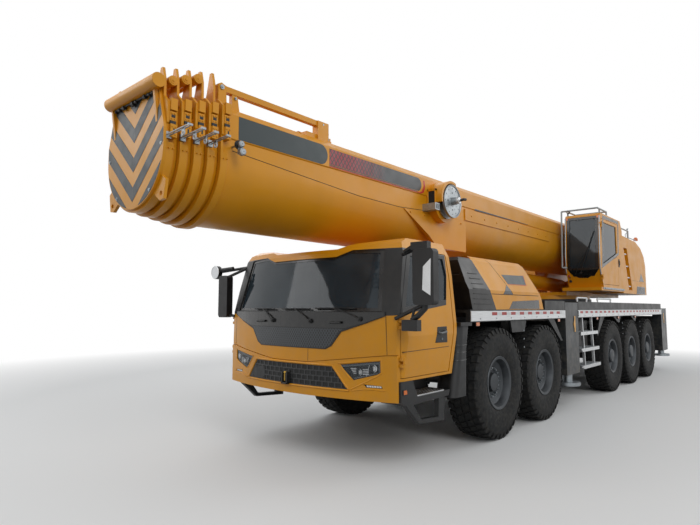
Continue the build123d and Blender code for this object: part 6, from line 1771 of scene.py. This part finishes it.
# ---- studio
@dataclass
class Studio:
    """Plain pale floor, soft lamps and the camera."""

    datum: Datum
    eye: Point = (6.787, 4.687, 1.749)
    yaw_deg: float = 41.12
    pitch_deg: float = 4.965
    lens_mm: float = 27.05
    lamps: tuple[tuple[Point, float, float], ...] = (((9.0, 11.0, 9.0), 7.0, 560.0),
        ((12.0, -5.0, 8.0), 7.0, 300.0), ((-8.0, 9.0, 10.0), 9.0, 430.0), ((-2.0, -9.0, 9.0), 9.0, 320.0))

    def camera(self) -> None:
        """Places the camera in front of the driver's side."""
        yaw, pitch = radians(self.yaw_deg), radians(self.pitch_deg)
        ahead = Vector((-cos(yaw) * cos(pitch), -sin(yaw) * cos(pitch), sin(pitch)))
        right = Vector((-sin(yaw), cos(yaw), 0.0))
        up = right.cross(ahead)
        data = bpy.data.cameras.new("camera")
        data.lens, data.sensor_width = self.lens_mm, 36.0
        data.clip_end = 200.0
        item = bpy.data.objects.new("camera", data)
        item.matrix_world = Matrix.Translation((self.datum.x(self.eye[0]), self.eye[1],
            self.eye[2])) @ Matrix((right, up, -ahead)).transposed().to_4x4()
        bpy.context.scene.collection.objects.link(item)
        bpy.context.scene.camera = item

    def seen(self, tree: bpy.types.NodeTree) -> Any:
        """A mask that is one for rays from the eye, from mirrors and through glass."""
        path = add_node(tree, "LightPath")
        mask = path["Is Camera Ray"]
        for ray in ("Is Glossy Ray", "Is Transmission Ray"):
            mask = add_node(tree, "Math", {"operation": "MAXIMUM", 0: mask, 1: path[ray]})[0]
        return mask

    def floor(self) -> None:
        """Lays the floor, which shows white to the camera and to reflections but keeps its shadow."""
        bpy.ops.mesh.primitive_plane_add(size=160.0, location=(0.0, 0.0, 0.0))
        plane = bpy.context.object
        plane.name = "studio_floor"
        recipe = Recipe("studio_floor")
        tree = recipe.tree
        seen = self.seen(tree)
        pale = recipe.tinted(linear("#E9E9E8"), recipe.patchy(900.0, 0.0, 1.0, 0.0, 0.04), "#DCDCDA")
        colour = add_node(tree, "Mix",
            {"data_type": "RGBA", SHARE: seen, FIRST: linear("#8E8E8C"), SECOND: pale})
        recipe.set(Base_Color=colour[MIXED], Roughness=0.9)
        # far from the crane the floor is plain white, so that no horizon shows
        reach = add_node(tree, "VectorMath", {"operation": "LENGTH", 0: recipe.place})["Value"]
        far = add_node(tree, "MapRange", {"From Min": 9.5, "From Max": 16.0, "Value": reach})[0]
        # only rays from the eye, mirrors and glass see the white, so that it throws no light
        far = add_node(tree, "Math", {"operation": "MULTIPLY", 0: far, 1: seen})[0]
        white = add_node(tree, "Emission", {"Color": (1.0, 1.0, 1.0, 1.0), "Strength": 1.0})[0]
        mixed = add_node(tree, "MixShader", {0: far, 1: recipe.shader.outputs[0], 2: white})[0]
        output = next(node for node in tree.nodes if node.bl_idname == "ShaderNodeOutputMaterial")
        tree.links.new(mixed, output.inputs["Surface"])
        plane.data.materials.append(recipe.material)

    def light(self) -> None:
        """Hangs the lamps and sets the pale sky."""
        for index, (place, size, power) in enumerate(self.lamps):
            data = bpy.data.lights.new(f"softbox_{index}", "AREA")
            data.size, data.energy = size, power
            item = bpy.data.objects.new(f"softbox_{index}", data)
            item.location = Vector(place)
            item.rotation_euler = (Vector((0.0, 0.0, 1.8)) - Vector(place)).to_track_quat("-Z",
                "Y").to_euler()
            bpy.context.scene.collection.objects.link(item)
        world = bpy.data.worlds.new("sky")
        world.use_nodes = True
        tree = world.node_tree
        tree.nodes.clear()
        sky = add_node(tree, "Background", {"Color": linear("#EEF2F6"), "Strength": 0.45})[0]
        white = add_node(tree, "Background", {"Color": (1.0, 1.0, 1.0, 1.0), "Strength": 1.0})[0]
        mixed = add_node(tree, "MixShader", {0: self.seen(tree), 1: sky, 2: white})[0]
        add_node(tree, "OutputWorld", {"Surface": mixed})
        bpy.context.scene.world = world

    def build(self) -> None:
        """Sets the studio up."""
        self.camera()
        self.floor()
        self.light()
        bpy.context.scene.view_settings.view_transform = "Standard"


def main() -> None:
    """Loads the frame, dresses it and builds each sub-assembly in order."""
    logging.basicConfig(level=logging.INFO, format="%(name)s: %(message)s")
    for item in list(bpy.data.objects):
        bpy.data.objects.remove(item)
    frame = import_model()
    datum = Datum.of(frame)
    finishes = Finishes(datum)
    for assembly in (FrameFinish(frame["nodes"], finishes), RoadWheels(datum, finishes),
            BoomDress(datum, finishes), CabDress(datum, finishes), CarrierDress(datum, finishes),
            CoverDress(datum, finishes), UpperCabDress(datum, finishes), TailDress(datum, finishes),
            Studio(datum)):
        LOG.info("building %s", type(assembly).__name__)
        assembly.build()


if __name__ == "__main__":
    main()
